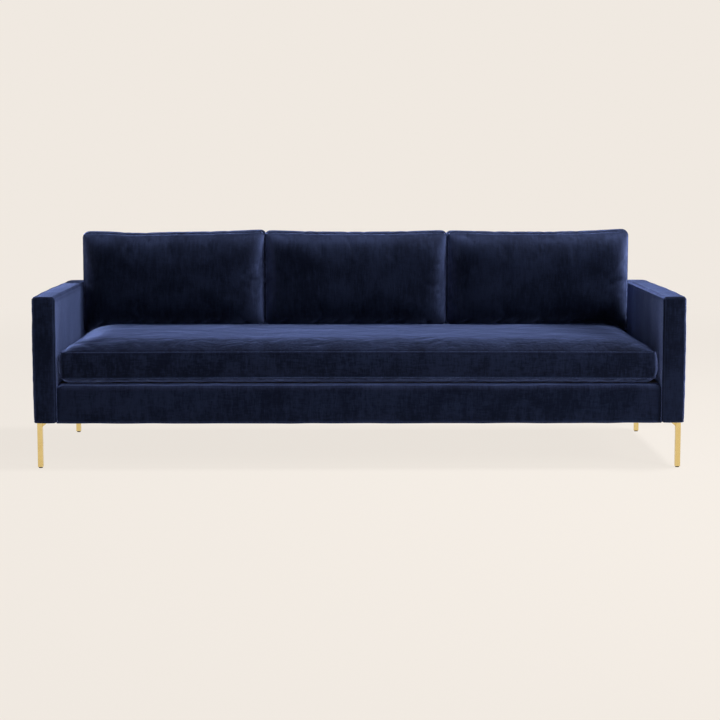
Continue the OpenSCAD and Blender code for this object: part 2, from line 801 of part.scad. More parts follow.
// Standing on its flat side, the front panel towards -Y
module back_form(inset, level) {
    translate([0, back_boxing_y + back_boxing_t / 2, back_cushion_low + back_cushion_h / 2])
        rotate([90, 0, 0])
            cushion_form([back_cushion_w, back_cushion_h, back_boxing_t], back_corner_r, back_crown,
                back_belly, [back_side_run, back_top_run, back_bottom_run], back_bulge,
                [back_side_draw, back_top_draw], inset, level);
}

module at_cushion(i) {
    translate([(i + 1 / 2) * back_cushion_pitch + back_side_gap / 2 - arm_in, 0, 0]) children();
}

module seat_cushion_cover() {
    color(velvet) difference() {
        seat_form(0, 0);
        seat_form(cover_t, 1);
    }
}

module seat_cushion_wrap() {
    color(fibre) difference() {
        seat_form(skin, 1);
        seat_form(skin + seat_wrap_t, 2);
    }
}

module seat_cushion_foam() {
    color(foam) seat_form(skin + seat_wrap_t + skin_gap, 2);
}

module cushion_cover(i) {
    color(velvet) at_cushion(i) difference() {
        back_form(0, 0);
        back_form(cover_t, 1);
    }
}

module cushion_fill(i) {
    color(fibre) at_cushion(i) back_form(skin, 1);
}

// Zips lie on the boxing's flat side: tape, chain and slider from Z = 0 upwards
seat_zip_l = seat_w - 2 * zip_end;
back_zip_l = back_cushion_w - 2 * zip_end;

module zip(l) {
    color("navy") {
        translate([-l / 2, -zip_w / 2, 0]) cube([l, zip_w, zip_tape_t]);
        translate([-l / 2, -zip_chain_w / 2, 0]) cube([l, zip_chain_w, zip_tape_t + zip_chain_t]);
    }
}

// A channel over the chain, at the viewer's left end of its travel
module zip_slider(l) {
    room = zip_chain_w / 2 + slider_fit;
    top = zip_tape_t + zip_chain_t + slider_fit;
    color("silver") along_x(zip_stop - l / 2, zip_stop - l / 2 + slider_l) difference() {
        translate([-slider_w / 2, zip_tape_t + slider_fit])
            square([slider_w, zip_chain_t + slider_t]);
        translate([-room, 0]) square([2 * room, top]);
    }
}

module on_seat_rear() {
    translate([0, seat_rear, seat_low + seat_belly + seat_boxing_h / 2]) rotate([-90, 0, 0]) children();
}

module under_cushion(i) {
    at_cushion(i) translate([0, back_boxing_y + zip_offset, back_cushion_low])
        mirror([0, 0, 1]) children();
}

front_rail();
back_rail();
on_left() side_rail();  // left_side_rail
side_rail();  // right_side_rail
seat_stretchers();
on_left() front_post();  // left_front_post
front_post();  // right_front_post
on_left() back_post();  // left_back_post
back_post();  // right_back_post
on_left() arm_rail();  // left_arm_rail
arm_rail();  // right_arm_rail
back_top_rail();
back_tack_rail();
back_uprights();
corner_blocks();
frame_dowels();
on_left() arm_panels();  // left_arm_panels
arm_panels();  // right_arm_panels
back_panel();
seat_webbing();
seat_cross_webbing();
back_webbing();
back_cross_webbing();
deck_pad();
deck_cover();
front_rail_padding();
front_rail_cover();
on_left() arm_padding();  // left_arm_padding
arm_padding();  // right_arm_padding
on_left() arm_cover();  // left_arm_cover
arm_cover();  // right_arm_cover
back_padding();
back_cover();
outside_back_cover();
dust_cover();
leg(front_leg_in, -1, -1);  // front_left_leg
leg(front_leg_in, -1, 1);  // front_right_leg
leg(rear_leg_in, 1, -1);  // rear_left_leg
leg(rear_leg_in, 1, 1);  // rear_right_leg
leg_screws();
leg_glides();
seat_cushion_cover();
seat_cushion_wrap();
seat_cushion_foam();
on_seat_rear() zip(seat_zip_l);  // seat_zip
on_seat_rear() zip_slider(seat_zip_l);  // seat_zip_slider
cushion_cover(0);  // left_cushion_cover
cushion_fill(0);  // left_cushion_fill
under_cushion(0) zip(back_zip_l);  // left_zip
under_cushion(0) zip_slider(back_zip_l);  // left_zip_slider
cushion_cover(1);  // centre_cushion_cover
cushion_fill(1);  // centre_cushion_fill
under_cushion(1) zip(back_zip_l);  // centre_zip
under_cushion(1) zip_slider(back_zip_l);  // centre_zip_slider
cushion_cover(2);  // right_cushion_cover
cushion_fill(2);  // right_cushion_fill
under_cushion(2) zip(back_zip_l);  // right_zip
under_cushion(2) zip_slider(back_zip_l);  // right_zip_slider
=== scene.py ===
import json
import math

import bpy
import numpy as np
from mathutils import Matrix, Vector


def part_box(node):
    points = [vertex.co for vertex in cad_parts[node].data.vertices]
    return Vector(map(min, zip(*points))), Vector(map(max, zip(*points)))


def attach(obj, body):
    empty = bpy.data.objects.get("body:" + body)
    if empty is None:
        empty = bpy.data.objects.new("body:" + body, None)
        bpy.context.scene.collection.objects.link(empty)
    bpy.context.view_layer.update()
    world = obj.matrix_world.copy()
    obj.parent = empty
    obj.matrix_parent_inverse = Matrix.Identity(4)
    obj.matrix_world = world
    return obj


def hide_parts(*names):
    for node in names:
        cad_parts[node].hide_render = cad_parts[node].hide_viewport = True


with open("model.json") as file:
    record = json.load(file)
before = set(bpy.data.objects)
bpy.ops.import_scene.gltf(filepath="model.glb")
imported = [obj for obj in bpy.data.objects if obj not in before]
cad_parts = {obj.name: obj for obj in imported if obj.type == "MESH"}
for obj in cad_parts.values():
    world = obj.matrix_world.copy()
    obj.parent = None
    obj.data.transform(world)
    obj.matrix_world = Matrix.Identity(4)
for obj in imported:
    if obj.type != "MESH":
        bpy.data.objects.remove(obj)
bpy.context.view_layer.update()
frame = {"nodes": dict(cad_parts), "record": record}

# Tuxedo sofa in navy velvet on square brass legs: the covers, cushions and finishes.
# Metres. +X is the viewer's right, the front faces -Y and +Z is up.

scene = bpy.context.scene
scene.view_settings.view_transform = "Standard"

# Faces of the frame that the soft pieces meet
arm_low, arm_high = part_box("right_arm_cover")
back_low, back_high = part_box("back_cover")
rail_low, rail_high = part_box("front_rail_cover")
deck_low, deck_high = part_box("deck_cover")
outback_low, outback_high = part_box("outside_back_cover")
dust_low, dust_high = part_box("dust_cover")
felt_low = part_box("deck_pad")[0]
ARM_IN = arm_low.x
CONTACT = 0.0003

# Edges of the upholstered frame
EDGE_R = 0.012
HEM_R = 0.007
RAIL_R = 0.013
SMALL_R = 0.004
SHARP_R = 0.001

# How far the ends of the back and of the front rail press into the arms
BACK_REACH = 0.009
RAIL_REACH = 0.0045

# How far the padded faces swell: an arm's inner, outer and other faces, the back, the rail
ARM_SWELL = (0.0006, 0.0058, 0.003)
BACK_SWELL = 0.0012
RAIL_SWELL = 0.0018

# Seams and turned edges of the arms and the front rail
ARM_TUCK = 0.0003
ARM_TUCK_H = 0.06
ARM_SEAM_IN = 0.0066
ARM_SEAM_ROUND = 0.0053
ARM_SEAM_SLANT = 1.3
ARM_SEAM_HEIGHT = 0.0006
ARM_SEAM_GROOVE = 0.0010
ARM_GATHER = 0.0006
ARM_WAVES = 0.0006
HEM_UP = 0.005
TURNED_UNDER = 0.009
UNDER_RISE = 0.0035
RAIL_SLOPE = 0.0032
RAIL_END_DROP = 0.006

# Room round a leg's plate in the dust cover
PLATE_ROOM = 0.003

# Bench seat cushion, as it lies. Its runs are those at the sides, front, rear and belly
SEAT_SIZE = (2.096, 0.817, 0.092)
SEAT_RUNS = (0.145, 0.21, 0.10, 0.024)
SEAT_CROWN = 0.037
SEAT_BELLY = 0.022
SEAT_BULGE = (0.0056, 0.007)
SEAT_DRAW = (0.004, 0.004)
SEAT_CORNER_R = 0.022
SEAT_SEAM_LIFT = (0.0045, 0.002)
SEAT_CORNER_LIFT = 0.003
SEAT_SHIFT = -0.003

# Back cushions, as they lie on their rear panels. Their far side is the top edge
BACK_SIZE = (0.6985, 0.3565, 0.110)
BACK_RUNS = (0.20, 0.105, 0.11, 0.11)
BACK_CROWN = 0.100
BACK_BELLY = 0.020
BACK_BULGE = (0.0060, 0.0055)
BACK_DRAW = (0.0, 0.007)
BACK_CORNER_R = 0.019
DIP_X = -0.14
DIP_WIDTH = 0.09
SAG_HEIGHT = 0.13
SAG_LIMIT = 0.034

# How steeply a panel leaves its seams at the sides and elsewhere: the less, the plumper
SEAT_PLUMP = (0.7, 1.0)
BACK_PLUMP = (0.5, 0.5)
CROWN_POWER = 2.5
SEAM_STEEP = 0.004

# Simulated cloth: how far it may move a point, the share of its creases that the tight
# boxing and the firm seat show, how much longer the cloth is than its form, the pressure
# inside it and the frames in which it settles
CREASE_CAP = 0.016
BOXING_SHARE = 0.4
SEAT_SHARE = 0.38
SEAT_SLACK = 0.012
BACK_SLACK = 0.016
CLOTH_PRESSURE = 4.0
CLOTH_FRAMES = 20

# Dents on the seat: start, end, width and depth
SEAT_DENTS = (
    ((-0.33, 0.25, 0.14), (-0.24, 0.36, 0.12), 0.012, 0.0025),
    ((-0.30, 0.22, 0.14), (-0.19, 0.30, 0.13), 0.014, 0.0025),
    ((0.10, 0.33, 0.13), (0.22, 0.39, 0.11), 0.014, 0.0018),
)

# Each back cushion's dents, the lifts of its two top corners and the depth of its dip
BACK_DENTS = {
    "left": (
        ((0.20, 0.10, 0.20), (0.31, 0.165, 0.13), 0.014, 0.0025),
        ((-0.30, -0.10, 0.17), (-0.33, -0.165, 0.13), 0.012, 0.0025),
    ),
    "centre": (
        ((0.22, -0.08, 0.20), (0.33, -0.15, 0.13), 0.011, 0.0035),
        ((0.24, -0.13, 0.18), (0.335, -0.165, 0.13), 0.009, 0.0030),
        ((-0.24, 0.12, 0.18), (-0.32, 0.165, 0.13), 0.012, 0.0022),
    ),
    "right": (
        ((-0.15, 0.165, 0.12), (-0.08, 0.06, 0.21), 0.014, 0.0040),
        ((-0.09, 0.165, 0.12), (-0.01, 0.07, 0.21), 0.014, 0.0035),
        ((-0.20, -0.09, 0.20), (-0.33, -0.15, 0.13), 0.010, 0.0030),
        ((-0.17, -0.12, 0.19), (-0.22, -0.165, 0.13), 0.010, 0.0025),
    ),
}
BACK_EARS = {
    "left": (-0.0035, 0.003, 0.0045),
    "centre": (0.0, 0.0, 0.0),
    "right": (-0.001, 0.0055, 0.0),
}

# Seams stand out as a thin ridge of turned-in cloth, and a band along them is lightened by
# wear and a painted highlight
SEAM_HEIGHT = 0.0011
SEAM_HALF = 0.0024
SEAM_WEAR_AND_HIGHLIGHT = 0.0034
SEAM_GROOVE = 0.0016

# Places of the mesh lines beside the edges of each piece, and their steps elsewhere
SEAT_CLOSE = (0.0012, 0.0026, 0.005, 0.009)
SEAT_STEP = 0.009
BACK_CLOSE = (0.00006, 0.00016, 0.0003, 0.0006, 0.0014, 0.0025, 0.004, 0.006, 0.009, 0.013)
BACK_STEP = 0.008
BOXING_STEP = 0.007
SEAT_CLOTH_STEP = 0.015
BACK_CLOTH_STEP = 0.0125
ARM_SIDE_CLOSE = (0.002, 0.004, 0.005, 0.0066, 0.008, 0.0095, 0.012)
ARM_HEM_CLOSE = (0.0015, 0.003, 0.005, 0.007, 0.009, 0.012)
EDGE_CLOSE = (0.002, 0.0045, 0.007, 0.009, 0.012)
RAIL_CLOSE = (0.0015, 0.003, 0.0045, 0.006, 0.008, 0.011)
DECK_CLOSE = (0.001, 0.0025, 0.005)
SHEET_CLOSE = (0.0015, 0.003, 0.005, 0.008)
DUST_CLOSE = (0.004, 0.01)
PADDED_STEP = 0.01
SHEET_STEP = 0.012
DECK_STEP = 0.02
DUST_STEP = 0.03

# Velvet: the hollows and tips of its pile, a painted highlight on its bends and edges, wear
# and a painted highlight along its seams, and its bloom where it is seen or lit across
DEEP_PILE = (0.0018, 0.0031, 0.0092, 1.0)
PILE_TIPS = (0.0056, 0.0086, 0.0222, 1.0)
PAINTED_HIGHLIGHT_PILE = (0.048, 0.064, 0.145, 1.0)
WEAR_AND_HIGHLIGHT_PILE = (0.030, 0.041, 0.095, 1.0)
BLOOM = (0.31, 0.42, 0.95, 1.0)

# How high the velvet's patches, streaks, rows of tufts and single tufts stand
PATCH_RISE = 0.0030
STREAK_RISE = 0.0008
NAP_RISE = 0.0009
GRAIN_RISE = 0.00022

# Patches and streaks to the metre, how far the patches lean, how strong the rows of tufts
# are, and the width of the bloom, on each velvet
VELVETS = {
    "seat_velvet": (7.0, 85.0, 3.0, 1.0, 0.25),
    "cushion_velvet": (7.0, 85.0, 0.8, 0.35, 0.25),
    "frame_velvet": (6.0, 85.0, 0.8, 0.65, 0.30),
}

# Threads to the metre, dark and light colours and the weave's depth of each woven cloth
WOVEN_CLOTHS = {
    "deck_cloth": (700.0, (0.004, 0.005, 0.012, 1), (0.012, 0.015, 0.035, 1), 0.0003),
    "dust_cloth": (520.0, (0.005, 0.005, 0.005, 1), (0.018, 0.018, 0.018, 1), 0.0003),
    "webbing": (420.0, (0.012, 0.012, 0.014, 1), (0.06, 0.06, 0.07, 1), 0.0005),
    "zip_tape": (1100.0, (0.004, 0.006, 0.016, 1), (0.012, 0.016, 0.04, 1), 0.0003),
}

# Cells and flecks to the metre, dark and light colours, roughness and depth of each
# foam, felt, board and moulding
SPECKLED_STUFFS = {
    "fibreboard": (900.0, 260.0, (0.20, 0.13, 0.075, 1), (0.34, 0.24, 0.15, 1), 0.9, 0.0004),
    "felt": (700.0, 120.0, (0.30, 0.30, 0.29, 1), (0.55, 0.54, 0.52, 1), 0.9, 0.0004),
    "foam": (1400.0, 50.0, (0.70, 0.66, 0.50, 1), (0.80, 0.77, 0.63, 1), 0.9, 0.0004),
    "fibre_fill": (300.0, 40.0, (0.72, 0.72, 0.70, 1), (0.86, 0.86, 0.84, 1), 0.9, 0.0004),
    "glide_nylon": (1600.0, 300.0, (0.010, 0.010, 0.010, 1), (0.022, 0.021, 0.020, 1), 0.5, 0.0001),
}

# Bright and dull colours, and the roughness of the clean and the handled metal
METALS = {
    "leg_brass": ((0.80, 0.62, 0.27, 1), (0.66, 0.49, 0.19, 1), 0.16, 0.30),
    "screw_steel": ((0.60, 0.60, 0.62, 1), (0.45, 0.45, 0.46, 1), 0.3, 0.45),
    "zip_metal": ((0.66, 0.65, 0.63, 1), (0.5, 0.49, 0.47, 1), 0.25, 0.4),
}

# Dark and light colours of the hardwoods
TIMBERS = {
    "frame_timber": ((0.42, 0.27, 0.14, 1), (0.62, 0.44, 0.26, 1)),
    "dowel_wood": ((0.50, 0.35, 0.20, 1), (0.70, 0.53, 0.34, 1)),
}

# Pale paper of the floor and backdrop. It glows more from FADE_FROM to FADE_TO metres away
PALE = (0.871, 0.815, 0.752, 1.0)
FADE_FROM = 2.5
FADE_TO = 7.0
FLOOR_R = 40.0
FLOOR_SIDES = 64

# Near the sofa, the strength of the floor's glow and its share, the rest being lit paper
NEAR_STRENGTH = 0.985
NEAR_GLOW = 0.94

# What glossy finishes see: the brightness of the floor behind the sofa, and the colour of
# the backdrop away from the front
REAR_GLOSS = 0.4
DIM_PAPER = (0.30, 0.27, 0.24, 1.0)

# Strength of the even light from all round
EVEN_LIGHT = 0.07

# Soft lamps, aimed at the sofa's middle: place, sides and power in watts
LAMP_AIM = (0.0, 0.0, 0.45)
LAMPS = {
    "key": ((4.4, -4.0, 2.7), (1.5, 1.5), 245),
    "overhead": ((2.3, -0.1, 5.2), (1.1, 1.1), 445),
    "front": ((1.9, -3.0, 4.2), (1.4, 1.4), 50),
    "fill": ((-3.4, -4.6, 2.7), (2.0, 2.0), 15),
    "side": ((-4.8, -1.0, 2.2), (1.6, 1.6), 40),
    "low": ((0.0, -7.0, 0.5), (2.5, 1.0), 15),
}

# Camera: its place, lens and film in millimetres, and how far it looks down and right
CAMERA_PLACE = (-0.0513, -6.7734, 1.086)
CAMERA_LENS = 90.825
CAMERA_FILM = 36.0
CAMERA_DOWN = math.radians(6.336)
CAMERA_RIGHT = math.radians(0.480)


# Meshes

def lines(low, high, step, close):
    """Places from low to high about a step apart, and close together next to both ends."""
    close = np.array(close)
    first, last = low + close[-1], high - close[-1]
    middle = np.linspace(first, last, max(1, round((last - first) / step)) + 1)
    return np.concatenate([[low], low + close[:-1], middle, high - close[:-1][::-1], [high]])


def box_grid(*axes):
    """Skin of a box that lines cut on three axes: its points, its quads, and for each side
    the table of its points' numbers over the two axes that it spans."""
    shape = tuple(len(places) for places in axes)
    skin = np.zeros(shape, bool)
    for axis in range(3):
        np.moveaxis(skin, axis, 0)[[0, -1]] = True
    numbers = np.full(shape, -1)
    numbers[skin] = np.arange(skin.sum())
    points = np.stack([places[i] for places, i in zip(axes, np.nonzero(skin))], axis=1)
    tables = [np.moveaxis(numbers, axis, 0)[end] for axis in range(3) for end in (0, -1)]
    quads = []
    for side, table in enumerate(tables):
        corners = [table[:-1, :-1], table[1:, :-1], table[1:, 1:], table[:-1, 1:]]
        if side in (0, 3, 4):
            corners.reverse()
        quads.append(np.stack(corners, axis=-1).reshape(-1, 4))
    return points, np.concatenate(quads), tables


def normals_of(points, quads):
    """Normal at each point, from the quads round it."""
    a, b, c, d = (points[quads[:, i]] for i in range(4))
    facing = np.cross(c - a, d - b)
    total = np.zeros_like(points)
    for i in range(4):
        np.add.at(total, quads[:, i], facing)
    return total / np.maximum(np.linalg.norm(total, axis=1, keepdims=True), 1e-12)


def neighbour_mean(values, quads, rounds):
    """Values smoothed along the mesh, each point taking its neighbours' mean in each round."""
    ends = np.concatenate([quads[:, [i, (i + 1) % 4]] for i in range(4)])
    count = np.zeros(len(values))
    np.add.at(count, ends[:, 0], 1)
    np.add.at(count, ends[:, 1], 1)
    for _ in range(rounds):
        total = np.zeros_like(values)
        for axis in range(values.shape[1]):
            total[:, axis] = (
                np.bincount(ends[:, 0], values[ends[:, 1], axis], len(values))
                + np.bincount(ends[:, 1], values[ends[:, 0], axis], len(values)))
        values = (values + total / count[:, None]) / 2
    return values


def soft_noise(points, size, seed):
    """Smooth random field over the points, mostly from -1 to 1, with lumps of this size."""
    waves = 28
    rng = np.random.default_rng(seed)
    field = np.zeros(len(points))
    for _ in range(waves):
        direction = rng.normal(size=3)
        direction /= np.linalg.norm(direction)
        length = 2 * size * rng.uniform(0.7, 1.6)
        field += np.cos(points @ direction * 2 * math.pi / length + rng.uniform(0, 2 * math.pi))
    return field / math.sqrt(waves / 2) / 1.5


def smooth_step(values, low, high):
    """From 0 at low to 1 at high, with soft ends."""
    t = np.clip((values - low) / (high - low), 0, 1)
    return t * t * (3 - 2 * t)


def ridge(distance, half_width):
    """1 on a line and 0 from half_width on, round on top."""
    return np.maximum(0, 1 - (distance / half_width) ** 2)


def make_piece(name, body, points, quads, material, slot, **marks):
    """A smooth mesh that rides on a body. marks are named values from 0 to 1 at its points,
    for its material: seam for wear and a painted highlight on the seams, and another for a
    painted highlight on bends and edges."""
    mesh = bpy.data.meshes.new(name)
    mesh.from_pydata(points.tolist(), [], quads.tolist())
    mesh.polygons.foreach_set("use_smooth", [True] * len(mesh.polygons))
    mesh.materials.append(material)
    for mark, values in marks.items():
        layer = mesh.attributes.new(mark, "FLOAT", "POINT")
        layer.data.foreach_set("value", values.astype(np.float32))
    mesh.update()
    piece = bpy.data.objects.new(name, mesh)
    scene.collection.objects.link(piece)
    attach(piece, body)
    return piece


# Cushions

def rise(distance, run, plump=1.0):
    """Share of its full swell that a panel reaches at a distance from a seam."""
    share = 1 - (1 - np.clip(distance / run, 0, 1)) ** CROWN_POWER
    least, most = SEAM_STEEP ** plump, (1 + SEAM_STEEP) ** plump
    return ((share + SEAM_STEEP) ** plump - least) / (most - least)


def bow(share):
    """1 in the middle and 0 at both ends of a side."""
    return 1 - share ** 2


def cushion_form(flat, size, radius, crown, belly, runs, plump, bulge, draw):
    """Bends the points of a box into a boxed cushion that lies flat, with its boxing from
    Z = 0 up. The near side, at -Y, stays flat. runs are the side, far and near distances
    over which the crown rises, then the belly's at the sides, and bulge is how far the side
    and the far boxing swell."""
    x, y, z = flat.T
    half_w, half_d, height = size[0] / 2, size[1] / 2, size[2]
    a = np.clip((abs(x) - half_w + radius) / radius, 0, 1)
    b = np.clip((abs(y) - half_d + radius) / radius, 0, 1)
    across = a * np.sqrt(1 - b * b / 2)
    along = b * np.sqrt(1 - a * a / 2)
    px = np.sign(x) * (np.minimum(abs(x), half_w - radius) + radius * across)
    py = np.sign(y) * (np.minimum(abs(y), half_d - radius) + radius * along)
    on_boxing = (z > 0) & (z < height)
    out = on_boxing * 4 * (z / height) * (1 - z / height)
    reach = np.maximum(np.hypot(across, along), 1e-9)
    px = px + np.sign(x) * out * bulge[0] * across / reach
    py = np.maximum(py + np.sign(y) * out * bulge[1] * along / reach, -half_d)
    side, far, near, under = runs
    top = (crown * rise(half_w - abs(px), side, plump[0]) * rise(half_d - py, far, plump[1])
           * rise(py + half_d, near, plump[1]))
    low = (belly * rise(half_w - abs(px), under, plump[0])
           * rise(half_d - abs(py), near, plump[1]))
    pz = z + np.where(z >= height, top, 0) - np.where(z <= 0, low, 0)
    px = px * (1 - draw[0] / half_w * bow(py / half_d))
    py = np.where(py > 0, py * (1 - draw[1] / half_d * bow(px / half_w)), py)
    return np.stack([px, py, pz], axis=1)


def seam_distance(flat, size):
    """How far each point of the flat box lies from the nearest of the two seams."""
    x, y, z = flat.T
    on_panel = (z <= 0) | (z >= size[2])
    inward = np.minimum(size[0] / 2 - abs(x), size[1] / 2 - abs(y))
    return np.where(on_panel, inward, np.minimum(z, size[2] - z))


def swollen_distance(flat, form, size):
    """The same along panels that have swollen out from their seams."""
    on_panel = (flat[:, 2] <= 0) | (flat[:, 2] >= size[2])
    return np.hypot(seam_distance(flat, size), on_panel * (form[:, 2] - flat[:, 2]))


def settled(points, quads, held, slack):
    """Where a simulated cover comes to rest when its filling presses it out, with its seams
    held and some more cloth than the form needs."""
    mesh = bpy.data.meshes.new("trial_cover")
    mesh.from_pydata(points.tolist(), [], quads.tolist())
    trial = bpy.data.objects.new("trial_cover", mesh)
    scene.collection.objects.link(trial)
    seams = trial.vertex_groups.new(name="held")
    seams.add(np.nonzero(held)[0].tolist(), 1.0, "REPLACE")
    cloth = trial.modifiers.new("cover", "CLOTH")
    cloth.point_cache.frame_start = 1
    cloth.point_cache.frame_end = CLOTH_FRAMES
    settings = cloth.settings
    settings.quality = 5
    settings.mass = 0.3
    settings.tension_stiffness = 15
    settings.compression_stiffness = 15
    settings.shear_stiffness = 5
    settings.bending_stiffness = 0.4
    settings.vertex_group_mass = "held"
    settings.use_pressure = True
    settings.uniform_pressure_force = CLOTH_PRESSURE
    settings.shrink_min = -slack
    settings.effector_weights.gravity = 0
    cloth.collision_settings.use_collision = False
    for step in range(1, CLOTH_FRAMES + 1):
        scene.frame_set(step)
    shaped = trial.evaluated_get(bpy.context.evaluated_depsgraph_get())
    rest = np.zeros(len(points) * 3, np.float32)
    shaped.data.vertices.foreach_get("co", rest)
    bpy.data.objects.remove(trial)
    bpy.data.meshes.remove(mesh)
    scene.frame_set(1)
    return rest.reshape(-1, 3).astype(float)


def spline_weights(coarse, fine):
    """Weights that carry values from the coarse places to the fine ones on a smooth curve."""
    weights = np.zeros((len(fine), len(coarse)))
    spans = np.clip(np.searchsorted(coarse, fine, side="right") - 1, 0, len(coarse) - 2)
    for row, (span, place) in enumerate(zip(spans, fine)):
        t = (place - coarse[span]) / (coarse[span + 1] - coarse[span])
        shares = (-t / 2 + t ** 2 - t ** 3 / 2, 1 - 5 * t ** 2 / 2 + 3 * t ** 3 / 2,
                  t / 2 + 2 * t ** 2 - 3 * t ** 3 / 2, -t ** 2 / 2 + t ** 3 / 2)
        for offset, share in enumerate(shares):
            weights[row, min(max(span + offset - 1, 0), len(coarse) - 1)] += share
    return weights


def carried(moves, coarse_axes, coarse_tables, fine_axes, fine_tables, fine_count):
    """Moves of a coarse skin's points, carried to the points of a finer skin."""
    weights = [spline_weights(c, f) for c, f in zip(coarse_axes, fine_axes)]
    result = np.zeros((fine_count, 3))
    for side, (coarse, fine) in enumerate(zip(coarse_tables, fine_tables)):
        first, second = [axis for axis in range(3) if axis != side // 2]
        result[fine] = np.einsum(
            "ac,bd,cdk->abk", weights[first], weights[second], moves[coarse], optimize=True)
    return result


def crumpled(form, size, slack, coarse_step, fine_axes, fine_tables, fine_count, keep_low):
    """Moves that simulated cloth gives a cushion's fine points: all of its creases, a share
    of its slow swell, and never more than the cap."""
    close = (coarse_step * 0.6,)
    half_w, half_d, height = size[0] / 2, size[1] / 2, size[2]
    axes = (
        lines(-half_w, half_w, coarse_step, close),
        lines(-half_d, half_d, coarse_step, close),
        lines(0, height, coarse_step, close),
    )
    flat, quads, tables = box_grid(*axes)
    start = form(flat)
    held = seam_distance(flat, size) < coarse_step * 0.1
    moves = settled(start, quads, held, slack) - start
    slow = neighbour_mean(moves, quads, 40)
    moves = moves - (1 - keep_low) * slow
    moves[held] = 0
    moves[(flat[:, 2] > 0) & (flat[:, 2] < height)] *= BOXING_SHARE
    length = np.linalg.norm(moves, axis=1, keepdims=True)
    moves *= CREASE_CAP * np.tanh(length / CREASE_CAP) / np.maximum(length, 1e-9)
    return carried(moves, axes, tables, fine_axes, fine_tables, fine_count)


def crease(points, start, end, width, depth):
    """Depth at each point of a soft valley that runs from start to end and fades at both."""
    start, end = np.array(start), np.array(end)
    way = end - start
    t = np.clip((points - start) @ way / (way @ way), 0, 1)
    distance = np.linalg.norm(points - start - t[:, None] * way, axis=1)
    return depth * np.exp(-(distance / width) ** 2) * np.sqrt(np.maximum(0, 4 * t * (1 - t)))


def gathered(points, distance, place, width, noise_size, seed):
    """How much the cloth draws in beside a seam, in small gathers of the given size."""
    beside = np.exp(-((distance - place) / width) ** 2)
    return beside * (0.5 + soft_noise(points, noise_size, seed))


def seamed(points, quads, distance, pucker, seed):
    """Raises the seams into a thin ridge and gathers the cloth a little beside them.
    Gives the points and how much the seam line is lightened, by wear and a painted highlight, from
    0 to 1."""
    facing = normals_of(points, quads)
    gather = soft_noise(points, 0.011, seed) + 0.6 * soft_noise(points, 0.026, seed + 1)
    beside = np.exp(-((distance - 0.009) / 0.007) ** 2)
    groove = SEAM_GROOVE * ridge(distance - 0.0045, 0.0025)
    lift = SEAM_HEIGHT * ridge(distance, SEAM_HALF) - groove
    lift -= pucker * beside * (0.6 + 0.6 * gather)
    wear_and_highlight = ridge(distance, SEAM_WEAR_AND_HIGHLIGHT)
    return points + facing * lift[:, None], wear_and_highlight


def on_seat(flat):
    """The seat cushion's form in its own frame, its far side being the sofa's front."""
    form = cushion_form(flat, SEAT_SIZE, SEAT_CORNER_R, SEAT_CROWN, SEAT_BELLY, SEAT_RUNS,
                        SEAT_PLUMP, SEAT_BULGE, SEAT_DRAW)
    x, y, z = form.T
    share = np.clip(z / SEAT_SIZE[2], 0, 1)
    middle = bow(x / SEAT_SIZE[0] * 2)
    corner = smooth_step(abs(x), SEAT_SIZE[0] / 2 - 0.035, SEAT_SIZE[0] / 2)
    lift = (SEAT_SEAM_LIFT[0] * middle + SEAT_CORNER_LIFT * corner) * (1 - share)
    lift += SEAT_SEAM_LIFT[1] * middle * share
    lift = np.where(z > 0, lift, lift * np.clip(1 + z / SEAT_BELLY, 0, 1))
    form[:, 2] += lift * smooth_step(y, 0, SEAT_SIZE[1] / 2)
    return form


CUSHION_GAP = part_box("centre_cushion_cover")[0].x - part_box("left_cushion_cover")[1].x
SEAT_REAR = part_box("seat_cushion_cover")[1].y
SEAT_MID_Y = SEAT_REAR - SEAT_SIZE[1] / 2
SEAT_BOXING_Z = deck_high.z + CONTACT + SEAT_BELLY


def seat_drop(x, y):
    """How far the seat's crown has fallen at a place under the back cushions."""
    half_w = SEAT_SIZE[0] / 2
    from_side = rise(half_w - abs(x), SEAT_RUNS[0], SEAT_PLUMP[0])
    from_rear = rise(SEAT_REAR - y, SEAT_RUNS[2])
    return SEAT_CROWN * (1 - from_side * from_rear)


def make_seat_cushion(material):
    """Bench cushion with a crowned top, a boxing between two seams and a flat rear."""
    half_w, half_d, height = SEAT_SIZE[0] / 2, SEAT_SIZE[1] / 2, SEAT_SIZE[2]
    axes = (
        lines(-half_w, half_w, SEAT_STEP, SEAT_CLOSE),
        lines(-half_d, half_d, SEAT_STEP, SEAT_CLOSE),
        lines(0, height, BOXING_STEP, SEAT_CLOSE),
    )
    flat, quads, tables = box_grid(*axes)
    points = on_seat(flat)
    moves = crumpled(
        on_seat, SEAT_SIZE, SEAT_SLACK, SEAT_CLOTH_STEP, axes, tables, len(flat), keep_low=0.0)
    under_backs = smooth_step(-points[:, 1], 0.02, 0.14)
    points = points + moves * (SEAT_SHARE * (1 - under_backs))[:, None]
    for dent in SEAT_DENTS:
        points[:, 2] -= crease(points, *dent)
    distance = seam_distance(flat, SEAT_SIZE)
    points, wear_and_highlight = seamed(points, quads, distance, pucker=0.0010, seed=11)
    facing = normals_of(points, quads)
    # Painted highlight on the boxing where it rounds the ends, and fainter over the whole belly
    on_boxing = (flat[:, 2] > 0) & (flat[:, 2] < height)
    round_corner = smooth_step(abs(facing[:, 0]), 0.4, 0.85)
    splay = 0.25 * (flat[:, 2] <= 0) + on_boxing * round_corner
    x, y, z = points.T
    placed = np.stack([SEAT_SHIFT - x, SEAT_MID_Y - y, SEAT_BOXING_Z + z], axis=1)
    side = ARM_IN - CONTACT
    placed[:, 0] = np.clip(placed[:, 0], -side, side)
    placed[:, 1] = np.minimum(placed[:, 1], SEAT_REAR)
    placed[:, 2] = np.maximum(placed[:, 2], deck_high.z + CONTACT)
    cushion = make_piece("seat_cushion", "seat_cushion", placed, quads, material, "velvet",
                         seam=0.7 * wear_and_highlight, splay=splay)
    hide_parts("seat_cushion_cover", "seat_cushion_wrap", "seat_cushion_foam")
    return cushion


